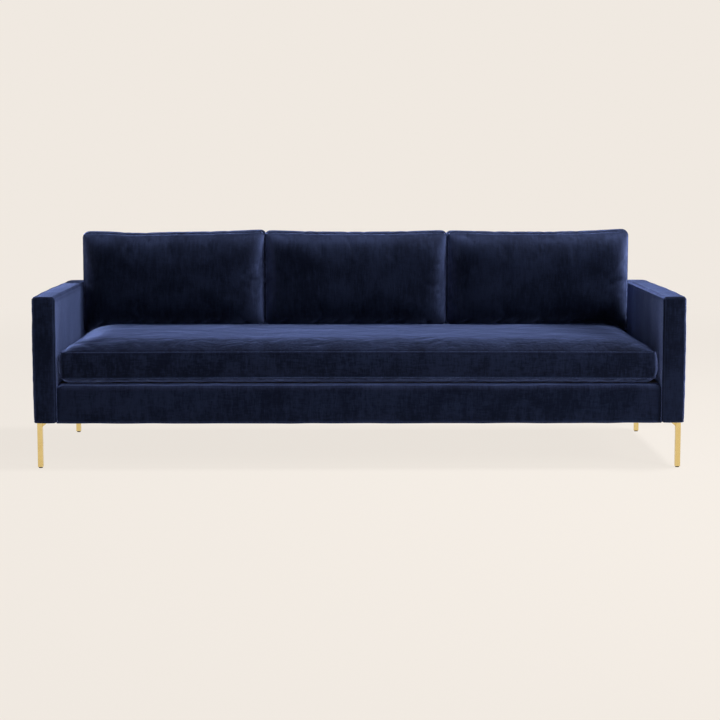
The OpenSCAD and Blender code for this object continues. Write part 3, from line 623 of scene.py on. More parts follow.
def back_form(ears):
    """The form of a back cushion on its rear panel. ears are the lifts of its two top
    corners and the depth of a dip between them."""
    def form(flat):
        """Bends the flat box's points."""
        shape = cushion_form(flat, BACK_SIZE, BACK_CORNER_R, BACK_CROWN, BACK_BELLY, BACK_RUNS,
                             BACK_PLUMP, BACK_BULGE, BACK_DRAW)
        x, y, z = shape.T
        up = smooth_step(y, -BACK_SIZE[1] / 4, BACK_SIZE[1] / 2)
        left = np.clip(-x * 2 / BACK_SIZE[0], 0, 1) ** 2
        right = np.clip(x * 2 / BACK_SIZE[0], 0, 1) ** 2
        dip = ears[2] * np.exp(-((x - DIP_X) / DIP_WIDTH) ** 2)
        shape[:, 1] += up * (ears[0] * left + ears[1] * right - dip)
        return shape
    return form


def make_back_cushion(side, seed, material):
    """Loose cushion that stands on the seat and leans on the back, sagging over the seat's
    ends at its lower corners."""
    box_low, box_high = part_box(side + "_cushion_cover")
    middle = (box_low.x + box_high.x) / 2
    pressed = CUSHION_GAP / 2 - CONTACT / 2
    rear_seam = back_low.y - CONTACT - BACK_BELLY
    floor = box_low.z
    half_w, half_h, depth = BACK_SIZE[0] / 2, BACK_SIZE[1] / 2, BACK_SIZE[2]
    axes = (
        lines(-half_w, half_w, BACK_STEP, BACK_CLOSE),
        lines(-half_h, half_h, BACK_STEP, BACK_CLOSE),
        lines(0, depth, BOXING_STEP, BACK_CLOSE),
    )
    flat, quads, tables = box_grid(*axes)
    form = back_form(BACK_EARS[side])
    moves = crumpled(
        form, BACK_SIZE, BACK_SLACK, BACK_CLOTH_STEP, axes, tables, len(flat), keep_low=0.1)
    shape = form(flat)
    distance = swollen_distance(flat, shape, BACK_SIZE)
    points = shape + moves
    for dent in BACK_DENTS[side]:
        points[:, 2] -= crease(points, *dent)
    points, wear_and_highlight = seamed(points, quads, distance, pucker=0.0012, seed=seed)
    # Painted highlight where a panel turns away towards its edges, strongest at the sides
    facing = normals_of(shape, quads)
    sideways = abs(facing[:, 0]) / np.maximum(np.hypot(facing[:, 0], facing[:, 1]), 1e-9)
    on_panel = (flat[:, 2] <= 0) | (flat[:, 2] >= depth)
    turned = smooth_step((1 - abs(facing[:, 2])) * on_panel, 0.05, 0.55)
    splay = turned * (0.15 + 0.85 * sideways)
    x, y, z = points.T
    placed = np.stack([middle + x, rear_seam - z, floor + half_h + y], axis=1)
    sag = 1 - smooth_step(placed[:, 2] - floor, 0, SAG_HEIGHT)
    fall = np.minimum(seat_drop(placed[:, 0], placed[:, 1]), SAG_LIMIT)
    placed[:, 2] = np.maximum(placed[:, 2], floor) - sag * fall
    placed[:, 0] = np.clip(placed[:, 0], box_low.x - pressed, box_high.x + pressed)
    placed[:, 1] = np.minimum(placed[:, 1], back_low.y - CONTACT)
    name = side + "_back_cushion"
    cushion = make_piece(name, name, placed, quads, material, "velvet", seam=wear_and_highlight, splay=splay)
    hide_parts(side + "_cushion_cover", side + "_cushion_fill")
    return cushion


# Upholstery of the frame

def rounded_block(axes, radii):
    """A box of lines on three axes with its edges rounded. radii are the low and high
    radius on each axis."""
    flat, quads, _ = box_grid(*axes)
    low = np.array([places[0] for places in axes])
    high = np.array([places[-1] for places in axes])
    radii = np.array(radii)
    core = np.clip(flat, low + radii[:, 0], high - radii[:, 1])
    offset = flat - core
    share = offset / np.where(offset < 0, radii[:, 0], radii[:, 1])
    length = np.maximum(np.linalg.norm(share, axis=1, keepdims=True), 1e-9)
    reach = abs(share).max(axis=1, keepdims=True)
    return core + offset * reach / length, quads


def padded_out(points, facing, low, high, amount):
    """Flat faces swollen a little between their edges."""
    middle, half = (low + high) / 2, (high - low) / 2
    inner = bow(np.clip((points - middle) / half, -1, 1)) ** 0.5
    swell = np.ones(len(points))
    for axis in range(3):
        swell *= inner[:, axis] * (1 - abs(facing[:, axis])) + abs(facing[:, axis])
    return points + facing * (amount * swell)[:, None]


def arm_seam_distance(points, facing):
    """How far each point of the right arm lies from its two long seams and its hem."""
    x, y, z = points.T
    low, high = arm_low, arm_high
    seamed_part = (z > low.z + 0.004) & (y < back_high.y - EDGE_R) & (facing[:, 0] ** 2 < 0.97)
    # The inner seam crosses from the front face to just under the top edge
    over_front = 2 * smooth_step((high.z - z) - (y - low.y), -0.02, 0.02) - 1
    round_edge = (x - low.x) - np.minimum(y - low.y, high.z - z)
    from_inner = abs(round_edge - over_front * ARM_SEAM_ROUND) / ARM_SEAM_SLANT
    from_seam = np.minimum(from_inner, abs(high.x - ARM_SEAM_IN - x))
    from_seam = np.where(seamed_part, from_seam, 1)
    from_hem = np.where(facing[:, 2] > -0.5, abs(z - low.z - HEM_UP), 1)
    from_hem = np.where((z < low.z + 0.02) & (x > low.x + 0.002), from_hem, 1)
    return np.minimum(from_seam, from_hem)


def arm_cloth_lift(points, distance):
    """How far the arm's cloth stands out: on its seams, in its gathers and in soft waves."""
    gather = soft_noise(points, 0.012, 31) * 0.6 + soft_noise(points, 0.035, 32) * 0.5
    beside = np.exp(-((distance - 0.006) / 0.006) ** 2)
    lift = ARM_SEAM_HEIGHT * ridge(distance, 0.0016) - ARM_GATHER * beside * (0.5 + gather)
    lift -= ARM_SEAM_GROOVE * ridge(distance - 0.0032, 0.0018)
    return lift + ARM_WAVES * soft_noise(points, 0.08, 33)


def tucked_in(points, facing):
    """Draws the right arm in at its foot, and ends its cover under the arm and behind it,
    where other cloths close it."""
    x, y, z = points.T
    low, high = arm_low, arm_high
    tuck = ARM_TUCK * (1 - np.clip((z - low.z - HEM_R) / (ARM_TUCK_H - HEM_R), 0, 1)) ** 2
    points[:, 0] -= tuck * (x - low.x) / (high.x - low.x)
    past_inner_edge = (x > low.x + TURNED_UNDER) | (y > rail_low.y + 0.004)
    past_edges = (x < high.x - TURNED_UNDER) & (y > low.y + TURNED_UNDER) & (y < high.y - 0.004)
    under = (facing[:, 2] < -0.8) & past_inner_edge & past_edges
    points[under, 2] = low.z + UNDER_RISE
    behind = (facing[:, 1] > 0.8) & (x < outback_high.x) & (z < outback_high.z)
    points[behind, 1] = np.minimum(points[behind, 1], outback_low.y - CONTACT)
    return points


def make_arm(side, material):
    """Padded arm: one strip over its front and top, seamed to both side panels."""
    axes = (
        lines(arm_low.x, arm_high.x, PADDED_STEP, ARM_SIDE_CLOSE),
        lines(arm_low.y, arm_high.y, PADDED_STEP, EDGE_CLOSE),
        lines(arm_low.z, arm_high.z, PADDED_STEP, ARM_HEM_CLOSE),
    )
    points, quads = rounded_block(axes, [(EDGE_R, EDGE_R), (EDGE_R, EDGE_R), (HEM_R, EDGE_R)])
    facing = normals_of(points, quads)
    turned = facing[:, 0]
    inner, outer, elsewhere = ARM_SWELL
    swell = np.where(turned < -0.3, inner, np.where(turned > 0.3, outer, elsewhere))
    points = padded_out(points, facing, np.array(arm_low), np.array(arm_high), swell)
    distance = arm_seam_distance(points, facing)
    points = points + facing * arm_cloth_lift(points, distance)[:, None]
    points = tucked_in(points, facing)
    if side == "left":
        points[:, 0] *= -1
        quads = quads[:, ::-1]
    # Painted highlight on the rounded edges that turn to the outer side; the seam mark adds wear
    # and a painted highlight on the seams and hem
    splay = 0.5 * smooth_step(turned, 0.3, 0.7) * (1 - smooth_step(turned, 0.93, 1.0))
    arm = make_piece(side + "_arm", "root", points, quads, material, "velvet",
                     seam=0.5 * ridge(distance, SEAM_WEAR_AND_HIGHLIGHT), splay=splay)
    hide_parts(side + "_arm_cover", side + "_arm_padding")
    return arm


def make_back(material):
    """Inside back and top in one padded piece, its ends pressed into the arms."""
    reach = ARM_IN + BACK_REACH
    low = np.array([-reach, back_low.y, back_low.z])
    high = np.array([reach, back_high.y, back_high.z])
    axes = [lines(low[i], high[i], SHEET_STEP, EDGE_CLOSE) for i in range(3)]
    points, quads = rounded_block(
        axes, [(BACK_REACH, BACK_REACH), (EDGE_R, EDGE_R), (SMALL_R, EDGE_R)])
    facing = normals_of(points, quads)
    swell = np.where(facing[:, 1] < -0.3, 0.0, BACK_SWELL)
    points = padded_out(points, facing, low, high, swell)
    lift = 0.0007 * soft_noise(points, 0.06, 41) + 0.0004 * soft_noise(points, 0.02, 42)
    lift = np.where(facing[:, 1] < -0.5, -abs(lift), lift)
    seam_z = outback_high.z
    distance = np.where(facing[:, 1] > 0.3, abs(points[:, 2] - seam_z - 0.002), 1)
    lift += 0.0008 * ridge(distance, 0.002)
    points = points + facing * lift[:, None]
    behind = (facing[:, 1] > 0.8) & (points[:, 2] < seam_z)
    points[behind, 1] = outback_low.y - CONTACT
    # The seam mark lightens the seam at the rear with wear and a painted highlight
    back = make_piece("inside_back", "root", points, quads, material, "velvet",
                      seam=ridge(distance, 0.004))
    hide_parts("back_cover", "back_padding")
    return back


def make_rail(material):
    """Padded front rail, with a soft top edge, a flap onto the deck and a hem below."""
    reach = ARM_IN + RAIL_REACH
    low = np.array([-reach, rail_low.y, rail_low.z])
    high = np.array([reach, rail_high.y, rail_high.z])
    axes = [lines(low[i], high[i], PADDED_STEP, RAIL_CLOSE) for i in range(3)]
    points, quads = rounded_block(
        axes, [(SMALL_R, SMALL_R), (RAIL_R, 0.003), (SMALL_R, RAIL_R)])
    facing = normals_of(points, quads)
    swell = np.where(facing[:, 1] < -0.3, RAIL_SWELL, 0.0)
    points = padded_out(points, facing, low, high, swell)
    x, y, z = points.T
    # The top edge slopes to the front, and its ends roll down beside the arms
    from_end = np.maximum(ARM_IN - abs(x), 0)
    near_top = smooth_step(z, high[2] - 0.03, high[2])
    down = RAIL_END_DROP * (1 - smooth_step(from_end, 0.0, 0.022)) * (y < low[1] + 0.03)
    down += RAIL_SLOPE * (1 - smooth_step(y, low[1] + 0.012, low[1] + 0.034))
    distance = np.where(facing[:, 1] < -0.5, abs(z - low[2] - HEM_UP), 1)
    lift = 0.0007 * ridge(distance, 0.0018) + 0.0006 * soft_noise(points, 0.07, 51)
    lift -= 0.0005 * gathered(points, distance, 0.007, 0.006, 0.014, 52)
    points = points + facing * lift[:, None]
    points[:, 2] -= near_top * down
    points[:, 2] = np.minimum(points[:, 2], high[2])
    under = (facing[:, 2] < -0.8) & (points[:, 1] > dust_low.y)
    points[under, 2] = dust_high.z + CONTACT
    # Painted highlight along the top edge; the seam mark adds wear and a painted highlight on the
    # hem
    splay = 0.4 * smooth_step(points[:, 2], high[2] - 0.018, high[2])
    rail = make_piece("front_rail_upholstery", "root", points, quads, material, "velvet",
                      seam=ridge(distance, 0.0036), splay=splay)
    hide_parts("front_rail_cover", "front_rail_padding")
    return rail


def make_deck(material):
    """Felted deck that the seat cushion lies on, hollowed a little here and there."""
    low = np.array([-ARM_IN, deck_low.y, felt_low.z])
    high = np.array([ARM_IN, deck_high.y, deck_high.z])
    axes = (
        lines(low[0], high[0], DECK_STEP, DECK_CLOSE),
        lines(low[1], high[1], DECK_STEP, DECK_CLOSE),
        lines(low[2], high[2], 0.004, DECK_CLOSE[:2]),
    )
    points, quads = rounded_block(axes, [(SHARP_R, SHARP_R)] * 3)
    facing = normals_of(points, quads)
    hollow = 0.0015 * (1 + soft_noise(points, 0.06, 61)) / 2
    points[:, 2] -= np.where(facing[:, 2] > 0.5, np.maximum(hollow, 0), 0)
    deck = make_piece("seat_deck", "root", points, quads, material, "deck_cloth")
    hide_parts("deck_cover", "deck_pad")
    return deck


def thin_cloth(xs, ys, thickness, inside=lambda x, y: True):
    """A flat cloth of two layers over lines in two directions, left out where inside says
    no. Gives points over (first, second, height) and quads."""
    wide, long = len(xs), len(ys)
    a, b = np.meshgrid(np.arange(wide), np.arange(long), indexing="ij")
    table = a * long + b
    layer = np.stack([xs[a], ys[b], np.zeros(a.shape)], axis=-1).reshape(-1, 3)
    middle_x, middle_y = (xs[:-1] + xs[1:]) / 2, (ys[:-1] + ys[1:]) / 2
    kept = np.array([[inside(x, y) for y in middle_y] for x in middle_x])
    corners = np.stack([table[:-1, :-1], table[1:, :-1], table[1:, 1:], table[:-1, 1:]], axis=-1)
    top = corners[kept]
    low = top[:, ::-1] + len(layer)
    edges = np.concatenate([top[:, [i, (i + 1) % 4]] for i in range(4)])
    lone = {tuple(e) for e in edges.tolist()}
    rims = [(q, p, p + len(layer), q + len(layer)) for p, q in sorted(lone) if (q, p) not in lone]
    points = np.concatenate([layer, layer - [0, 0, thickness]])
    quads = np.concatenate([top, low, np.array(rims)])
    used = np.unique(quads)
    order = np.full(len(points), -1)
    order[used] = np.arange(len(used))
    return points[used], order[quads]


def make_outside_back(material):
    """Velvet stretched over the rear, turned in at its edges and sewn down by hand."""
    xs = lines(outback_low.x, outback_high.x, SHEET_STEP, SHEET_CLOSE)
    zs = lines(outback_low.z, outback_high.z, SHEET_STEP, SHEET_CLOSE)
    thickness = outback_high.y - outback_low.y
    flat, quads = thin_cloth(-xs[::-1], zs, thickness * 0.8)
    points = np.stack([-flat[:, 0], outback_high.y + flat[:, 2], flat[:, 1]], axis=1)
    half = outback_high.x
    edge = np.minimum(half - abs(points[:, 0]),
                      np.minimum(points[:, 2] - outback_low.z, outback_high.z - points[:, 2]))
    roll = -0.0014 * (1 - smooth_step(edge, 0, 0.004))
    roll -= 0.0005 * gathered(points, edge, 0.0, 0.012, 0.013, 71)
    roll += 0.0009 * soft_noise(points, 0.09, 72) * smooth_step(edge, 0, 0.05)
    points[:, 1] += roll
    # The seam mark lightens the turned-in edges with wear and a painted highlight
    cloth = make_piece("outside_back", "root", points, quads, material, "velvet",
                       seam=ridge(edge - 0.002, 0.004))
    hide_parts("outside_back_cover")
    return cloth


def make_dust_cover(material):
    """Black cloth under the seat, cut out round the leg plates."""
    plates = [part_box(node) for node in
              ("front_left_leg", "front_right_leg", "rear_left_leg", "rear_right_leg")]
    room = PLATE_ROOM

    def inside(x, y):
        """Whether there is cloth at a place."""
        return not any(
            low.x - room < x < high.x + room and low.y - room < y < high.y + room
            for low, high in plates)

    def cut_lines(low, high, axis):
        """Mesh lines that also follow the edges of the cut-outs."""
        places = list(lines(low, high, DUST_STEP, DUST_CLOSE))
        for corners in plates:
            places += [corners[0][axis] - room, corners[1][axis] + room]
        places = np.unique(np.round([p for p in places if low <= p <= high], 5))
        return places[np.concatenate([[True], np.diff(places) > 0.0008])]

    xs = cut_lines(dust_low.x, dust_high.x, 0)
    ys = cut_lines(dust_low.y, dust_high.y, 1)
    points, quads = thin_cloth(xs, ys, dust_high.z - dust_low.z, inside)
    points[:, 2] += dust_high.z
    sag = 0.0016 * (0.5 + 0.5 * soft_noise(points * [1, 1, 0], 0.09, 81))
    edge = np.minimum(dust_high.x - abs(points[:, 0]),
                      np.minimum(points[:, 1] - dust_low.y, dust_high.y - points[:, 1]))
    points[:, 2] -= np.maximum(sag, 0) * smooth_step(edge, 0, 0.06)
    cloth = make_piece("dust_cover_cloth", "root", points, quads, material, "dust_cloth")
    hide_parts("dust_cover")
    return cloth


# Materials

def node(tree, kind, inputs=None, **settings):
    """Adds a node. inputs are values or sockets by label or place."""
    made = tree.nodes.new("ShaderNode" + kind)
    for name, value in settings.items():
        setattr(made, name, value)
    for name, value in (inputs or {}).items():
        if isinstance(value, bpy.types.NodeSocket):
            tree.links.new(value, made.inputs[name])
        else:
            made.inputs[name].default_value = value
    return made


def sums(tree, operation, *values):
    """Result of a Math node."""
    return node(tree, "Math", dict(enumerate(values)), operation=operation).outputs[0]


def blend(tree, share, first, second):
    """Colour between two colours."""
    return node(tree, "Mix", {0: share, 6: first, 7: second}, data_type="RGBA").outputs[2]


def noise(tree, place, scale, detail=3.0, rough=0.5, warp=0.0):
    """Noise from 0 to 1 over a place."""
    return node(tree, "TexNoise", {"Vector": place, "Scale": scale, "Detail": detail,
                                   "Roughness": rough, "Distortion": warp}).outputs["Fac"]


def levels(tree, value, low, high, to_low=0.0, to_high=1.0):
    """A value stretched from one range to another and held inside it."""
    return node(tree, "MapRange", {0: value, 1: low, 2: high, 3: to_low, 4: to_high},
                interpolation_type="SMOOTHSTEP").outputs[0]


def stretched(tree, place, scale):
    """A place scaled along its axes."""
    return node(tree, "Mapping", {"Vector": place, "Scale": scale}).outputs[0]


def effect(name, inputs, outputs):
    """An empty node group with the named number inputs and the named outputs."""
    tree = bpy.data.node_groups.new(name, "ShaderNodeTree")
    for label, value in inputs.items():
        socket = tree.interface.new_socket(label, in_out="INPUT", socket_type="NodeSocketFloat")
        socket.default_value = value
    for label in outputs:
        tree.interface.new_socket(label, in_out="OUTPUT", socket_type="NodeSocketFloat")
    return tree, tree.nodes.new("NodeGroupInput").outputs, tree.nodes.new("NodeGroupOutput").inputs


def use_effect(tree, group, **inputs):
    """Places a group in a material with its own values, and gives its outputs."""
    made = tree.nodes.new("ShaderNodeGroup")
    made.node_tree = group
    for name, value in inputs.items():
        made.inputs[name].default_value = value
    return made.outputs


def pile_effect():
    """Velvet pile: patches where it lies another way, brushed streaks, and its rows of tufts.
    Height is in metres."""
    tree, given, result = effect(
        "velvet_pile", {"Patches": 9.0, "Streaks": 60.0, "Lean": 1.0, "Nap": 1.0, "Grain": 850.0},
        ("Lay", "Height"))
    place = node(tree, "TexCoord").outputs["Object"]
    brushed = stretched(tree, place, (1.0, 0.2, 0.2))
    crossed = stretched(tree, place, (0.2, 1.0, 1.0))
    threads = sums(tree, "MULTIPLY", given["Streaks"], 2.4)
    patches = noise(tree, place, given["Patches"], 3.0, 0.5, 0.5)
    streaks = noise(tree, brushed, given["Streaks"], 3.0, 0.6, 0.3)
    warp = noise(tree, brushed, threads, 2.0, 0.6)
    weft = noise(tree, crossed, threads, 2.0, 0.6)
    grain = noise(tree, place, given["Grain"], 2.0, 0.6)
    tufts = sums(tree, "SUBTRACT", sums(tree, "ADD", warp, weft), 1.0)
    nap = sums(tree, "MULTIPLY", tufts, given["Nap"])
    broad = sums(tree, "MULTIPLY_ADD", patches, 0.6, sums(tree, "MULTIPLY", streaks, 0.4))
    lay = sums(tree, "MULTIPLY_ADD", nap, 0.55, broad)
    leaning = sums(tree, "MULTIPLY", sums(tree, "MULTIPLY", patches, PATCH_RISE), given["Lean"])
    leaning = sums(tree, "MULTIPLY_ADD", streaks, STREAK_RISE, leaning)
    leaning = sums(tree, "MULTIPLY_ADD", nap, NAP_RISE, leaning)
    tree.links.new(levels(tree, lay, 0.34, 0.66), result["Lay"])
    tree.links.new(sums(tree, "MULTIPLY_ADD", grain, GRAIN_RISE, leaning), result["Height"])
    return tree


def weave_effect():
    """Plain weave of two sets of threads. Height and Thread are from 0 to 1."""
    tree, given, result = effect("plain_weave", {"Threads": 900.0}, ("Height", "Thread"))
    place = node(tree, "TexCoord").outputs["Object"]
    axes = node(tree, "SeparateXYZ", {0: place}).outputs
    flat = sums(tree, "ADD", axes[1], axes[2])
    waves = []
    for along in (axes[0], flat):
        turn = sums(tree, "MULTIPLY", sums(tree, "MULTIPLY", along, given["Threads"]), math.pi)
        waves.append(sums(tree, "ABSOLUTE", sums(tree, "SINE", turn)))
    wear = noise(tree, place, 60.0, 4.0, 0.6)
    height = sums(tree, "MAXIMUM", waves[0], waves[1])
    worn_height = sums(tree, "MULTIPLY", height, levels(tree, wear, 0.2, 0.8, 0.7, 1.0))
    tree.links.new(worn_height, result["Height"])
    tree.links.new(sums(tree, "MULTIPLY", waves[0], waves[1]), result["Thread"])
    return tree


def speckle_effect():
    """Cells, flecks and pits of foam, felt, board and moulded nylon, from 0 to 1."""
    tree, given, result = effect("speckle", {"Size": 400.0, "Flecks": 90.0}, ("Height", "Fleck"))
    place = node(tree, "TexCoord").outputs["Object"]
    cells = node(tree, "TexVoronoi", {"Vector": place, "Scale": given["Size"]}).outputs["Distance"]
    flecks = noise(tree, place, given["Flecks"], 5.0, 0.7, 1.0)
    tree.links.new(cells, result["Height"])
    tree.links.new(levels(tree, flecks, 0.4, 0.7), result["Fleck"])
    return tree


def grain_effect(along):
    """Wood grain that runs along one axis: growth bands and pores, from 0 to 1."""
    tree, _, result = effect("wood_grain_" + "xyz"[along], {}, ("Bands", "Pores"))
    place = node(tree, "TexCoord").outputs["Object"]
    slow = [1.0 if axis != along else 0.06 for axis in range(3)]
    long = stretched(tree, place, slow)
    bands = noise(tree, long, 42.0, 3.0, 0.5, 1.6)
    drawn_out = stretched(tree, place, [1.0 if axis != along else 0.02 for axis in range(3)])
    pores = noise(tree, drawn_out, 900.0, 2.0, 0.7)
    tree.links.new(levels(tree, bands, 0.3, 0.7), result["Bands"])
    tree.links.new(levels(tree, pores, 0.5, 0.75), result["Pores"])
    return tree


def metal_effect():
    """Brushed lines along Z and hand smudges, from 0 to 1."""
    tree, given, result = effect(
        "worked_metal", {"Brush": 2200.0, "Smudges": 28.0}, ("Lines", "Smudge"))
    place = node(tree, "TexCoord").outputs["Object"]
    drawn = noise(tree, stretched(tree, place, (1.0, 1.0, 0.015)), given["Brush"], 2.0, 0.6)
    smudges = noise(tree, place, given["Smudges"], 4.0, 0.6, 0.8)
    tree.links.new(drawn, result["Lines"])
    tree.links.new(levels(tree, smudges, 0.35, 0.7), result["Smudge"])
    return tree


def finish(name, **shader):
    """Starts a material: gives it, its tree and its Principled shader."""
    made = bpy.data.materials.new(name)
    made.use_nodes = True
    tree = made.node_tree
    tree.nodes.clear()
    surface = node(tree, "BsdfPrincipled")
    for label, value in shader.items():
        surface.inputs[label.replace("_", " ")].default_value = value
    output = tree.nodes.new("ShaderNodeOutputMaterial")
    tree.links.new(surface.outputs[0], output.inputs["Surface"])
    return made, tree, surface


def bumped(tree, surface, height, distance=1.0, strength=1.0):
    """Feeds a height into the shader's normal."""
    bump = node(tree, "Bump", {"Height": height, "Distance": distance, "Strength": strength})
    tree.links.new(bump.outputs[0], surface.inputs["Normal"])


def coloured(tree, surface, colour):
    """Feeds a colour into the shader."""
    tree.links.new(colour, surface.inputs["Base Color"])


def velvet_finish(name, pile, patches, streaks, lean, nap, bloom):
    """Cotton velvet: nearly black pile with a blue bloom where it is seen or lit across."""
    made, tree, surface = finish(
        name, Roughness=0.82, Specular_IOR_Level=0.03, Sheen_Weight=1.0, Sheen_Roughness=bloom,
        Sheen_Tint=BLOOM)
    lay = use_effect(tree, pile, Patches=patches, Streaks=streaks, Lean=lean, Nap=nap)
    seam = node(tree, "Attribute", attribute_name="seam").outputs["Fac"]
    splay = node(tree, "Attribute", attribute_name="splay").outputs["Fac"]
    pile_colour = blend(tree, lay["Lay"], DEEP_PILE, PILE_TIPS)
    # Painted highlight on bends and edges, broken up by the pile's lay
    patchy = sums(tree, "MULTIPLY_ADD", lay["Lay"], 0.6, 0.5)
    pile_colour = blend(tree, sums(tree, "MULTIPLY", splay, patchy), pile_colour, PAINTED_HIGHLIGHT_PILE)
    # Wear and painted highlight along the seams
    pile_colour = blend(tree, sums(tree, "MULTIPLY", seam, 0.3), pile_colour, WEAR_AND_HIGHLIGHT_PILE)
    coloured(tree, surface, pile_colour)
    bumped(tree, surface, lay["Height"])
    return made


def cloth_finish(name, weave, threads, dark, light, depth):
    """Woven cloth of one colour."""
    made, tree, surface = finish(name, Roughness=0.9, Specular_IOR_Level=0.25, Sheen_Weight=0.15)
    woven = use_effect(tree, weave, Threads=threads)
    coloured(tree, surface, blend(tree, woven["Height"], dark, light))
    bumped(tree, surface, woven["Height"], depth)
    return made


def speckled_finish(name, speckle, size, flecks, dark, light, rough, depth):
    """Foam, felt, board or moulded nylon."""
    made, tree, surface = finish(name, Roughness=rough, Specular_IOR_Level=0.3)
    marks = use_effect(tree, speckle, Size=size, Flecks=flecks)
    coloured(tree, surface, blend(tree, marks["Fleck"], dark, light))
    bumped(tree, surface, marks["Height"], depth)
    return made


def timber_finish(name, grain, dark, light):
    """Planed hardwood with its grain along the piece."""
    made, tree, surface = finish(name, Roughness=0.6, Specular_IOR_Level=0.35)
    wood = use_effect(tree, grain)
    bands = blend(tree, wood["Bands"], dark, light)
    pore_colour = tuple(c * 0.45 for c in dark[:3]) + (1.0,)
    pores = sums(tree, "MULTIPLY", wood["Pores"], 0.35)
    coloured(tree, surface, blend(tree, pores, bands, pore_colour))
    bumped(tree, surface, sums(tree, "SUBTRACT", wood["Bands"], wood["Pores"]), 0.0002)
    return made


def metal_finish(name, worked, bright, dull, smooth, rough):
    """Brushed metal with faint smudges."""
    made, tree, surface = finish(name, Metallic=1.0)
    marks = use_effect(tree, worked)
    coloured(tree, surface, blend(tree, sums(tree, "MULTIPLY", marks["Smudge"], 0.6), bright, dull))
    rough_value = levels(tree, marks["Smudge"], 0.0, 1.0, smooth, rough)
    tree.links.new(rough_value, surface.inputs["Roughness"])
    bumped(tree, surface, marks["Lines"], 0.00004)
    return made


def dress_frame(finishes, timbers):
    """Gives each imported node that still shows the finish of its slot."""
    slots = {part["node"]: part["material_slot"] for part in frame["record"]["subparts"]}
    for name, shown in frame["nodes"].items():
        slot = slots[name]
        if slot in timbers:
            low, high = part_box(name)
            along = 0 if name == "corner_blocks" else int(np.argmax(np.array(high - low)))
            made = timbers[slot][along]
        else:
            made = finishes[slot]
        shown.data.materials.clear()
        shown.data.materials.append(made)


# Stage, lamps and camera

def make_stage():
    """Round pale floor that fades into the backdrop and is clear from below."""
    made = bpy.data.materials.new("pale_paper")
    made.use_nodes = True
    tree = made.node_tree
    tree.nodes.clear()
    rays = node(tree, "LightPath").outputs
    seen = sums(tree, "MAXIMUM", rays["Is Camera Ray"],
                sums(tree, "MAXIMUM", rays["Is Glossy Ray"], rays["Is Transmission Ray"]))
    place = node(tree, "TexCoord").outputs["Object"]
    away = node(tree, "VectorMath", {0: place}, operation="LENGTH").outputs["Value"]
    rear = levels(tree, node(tree, "SeparateXYZ", {0: place}).outputs[1], 0.5, 2.5)
    behind = sums(tree, "MULTIPLY", rear, rays["Is Glossy Ray"])
    even = levels(tree, away, FADE_FROM, FADE_TO, NEAR_STRENGTH, 1.0)
    shade = sums(tree, "MULTIPLY", even, levels(tree, behind, 0.0, 1.0, 1.0, REAR_GLOSS))
    paper = node(tree, "BsdfDiffuse", {"Color": PALE})
    glow = node(tree, "Emission", {"Color": PALE})
    tree.links.new(shade, glow.inputs["Strength"])
    share = sums(tree, "MULTIPLY", seen, levels(tree, away, FADE_FROM, FADE_TO, NEAR_GLOW, 1.0))
    mixed = node(tree, "MixShader", {0: share, 1: paper.outputs[0], 2: glow.outputs[0]})
    below = sums(tree, "MULTIPLY", node(tree, "NewGeometry").outputs["Backfacing"],
                 rays["Is Camera Ray"])
    clear = node(tree, "BsdfTransparent")
    shown = node(tree, "MixShader", {0: below, 1: mixed.outputs[0], 2: clear.outputs[0]})
    output = tree.nodes.new("ShaderNodeOutputMaterial")
    tree.links.new(shown.outputs[0], output.inputs["Surface"])
    turns = [2 * math.pi * i / FLOOR_SIDES for i in range(FLOOR_SIDES)]
    rim = [(FLOOR_R * math.cos(turn), FLOOR_R * math.sin(turn), 0.0) for turn in turns]
    mesh = bpy.data.meshes.new("floor")
    mesh.from_pydata(rim, [], [range(FLOOR_SIDES)])
    mesh.materials.append(made)
    floor = bpy.data.objects.new("floor", mesh)
    scene.collection.objects.link(floor)


def make_world():
    """Dim even light, seen as pale paper by the camera and in the brass."""
    world = bpy.data.worlds.new("studio")
    scene.world = world
    world.use_nodes = True
    tree = world.node_tree
    tree.nodes.clear()
    rays = node(tree, "LightPath").outputs
    even = node(tree, "Background", {"Color": (1.0, 1.0, 1.0, 1.0), "Strength": EVEN_LIGHT})
    shown = node(tree, "Background", {"Color": PALE, "Strength": 1.0})
    direction = node(tree, "TexCoord").outputs["Generated"]
    towards = node(tree, "SeparateXYZ", {0: direction}).outputs
    front = levels(tree, sums(tree, "MULTIPLY", towards[1], -1.0), 0.1, 0.9)
    gloss_colour = blend(tree, front, DIM_PAPER, PALE)
    gloss = node(tree, "Background", {"Color": gloss_colour, "Strength": 1.0})
    mirrored = node(
        tree, "MixShader", {0: rays["Is Glossy Ray"], 1: even.outputs[0], 2: gloss.outputs[0]})
    seen = sums(tree, "MAXIMUM", rays["Is Camera Ray"], rays["Is Transmission Ray"])
    mixed = node(tree, "MixShader", {0: seen, 1: mirrored.outputs[0], 2: shown.outputs[0]})
    output = tree.nodes.new("ShaderNodeOutputWorld")
    tree.links.new(mixed.outputs[0], output.inputs["Surface"])


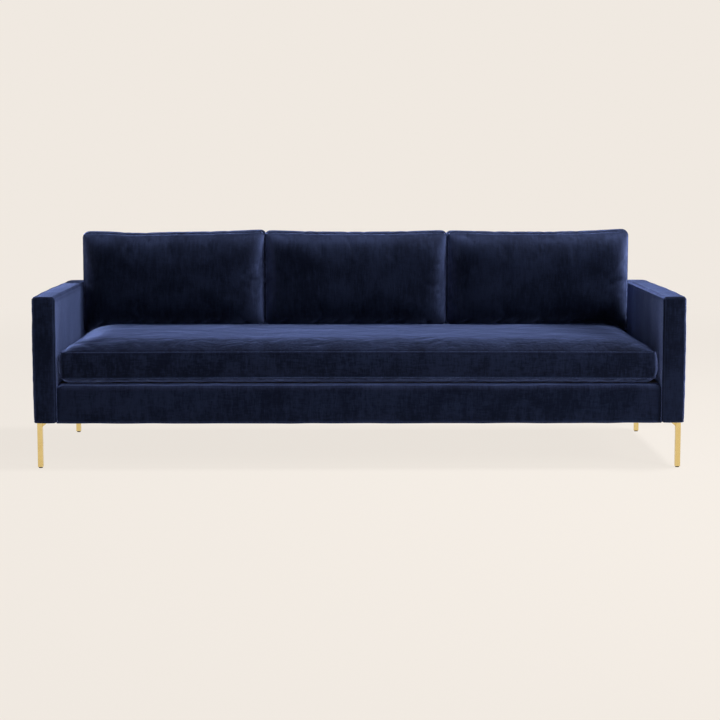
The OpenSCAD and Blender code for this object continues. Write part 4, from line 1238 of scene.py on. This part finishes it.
def add_lamp(name, place, size, power):
    """A rectangular soft lamp aimed at the sofa."""
    lamp = bpy.data.lights.new(name, "AREA")
    lamp.shape = "RECTANGLE"
    lamp.size, lamp.size_y = size
    lamp.energy = power
    holder = bpy.data.objects.new(name, lamp)
    holder.location = place
    way = Vector(LAMP_AIM) - Vector(place)
    holder.rotation_euler = way.to_track_quat("-Z", "Y").to_euler()
    scene.collection.objects.link(holder)


def place_camera():
    """The photograph's view, from a little left of the middle."""
    eye = bpy.data.cameras.new("camera")
    eye.sensor_width = CAMERA_FILM
    eye.lens = CAMERA_LENS
    holder = bpy.data.objects.new("camera", eye)
    holder.location = CAMERA_PLACE
    holder.rotation_euler = (math.radians(90) - CAMERA_DOWN, 0.0, -CAMERA_RIGHT)
    scene.collection.objects.link(holder)
    scene.camera = holder


def make_finishes():
    """Materials of the velvets and of every plain slot, by name."""
    pile = pile_effect()
    weave = weave_effect()
    speckle = speckle_effect()
    worked = metal_effect()
    finishes = {name: velvet_finish(name, pile, *values) for name, values in VELVETS.items()}
    finishes["velvet"] = finishes["frame_velvet"]
    for name, values in WOVEN_CLOTHS.items():
        finishes[name] = cloth_finish(name, weave, *values)
    for name, values in SPECKLED_STUFFS.items():
        finishes[name] = speckled_finish(name, speckle, *values)
    for name, values in METALS.items():
        finishes[name] = metal_finish(name, worked, *values)
    return finishes


def make_timbers():
    """Materials of each hardwood, one for each direction of the grain."""
    grains = [grain_effect(along) for along in range(3)]
    return {
        name: [timber_finish(name + "_" + "xyz"[i], grains[i], *colours) for i in range(3)]
        for name, colours in TIMBERS.items()
    }


def build():
    """The dressed sofa on its stage."""
    finishes = make_finishes()
    make_seat_cushion(finishes["seat_velvet"])
    for side, seed in (("left", 101), ("centre", 202), ("right", 303)):
        make_back_cushion(side, seed, finishes["cushion_velvet"])
    make_arm("left", finishes["velvet"])
    make_arm("right", finishes["velvet"])
    make_back(finishes["velvet"])
    make_rail(finishes["velvet"])
    make_deck(finishes["deck_cloth"])
    make_outside_back(finishes["velvet"])
    make_dust_cover(finishes["dust_cloth"])
    dress_frame(finishes, make_timbers())
    make_stage()
    make_world()
    for name, (place, size, power) in LAMPS.items():
        add_lamp(name, place, size, power)
    place_camera()


build()
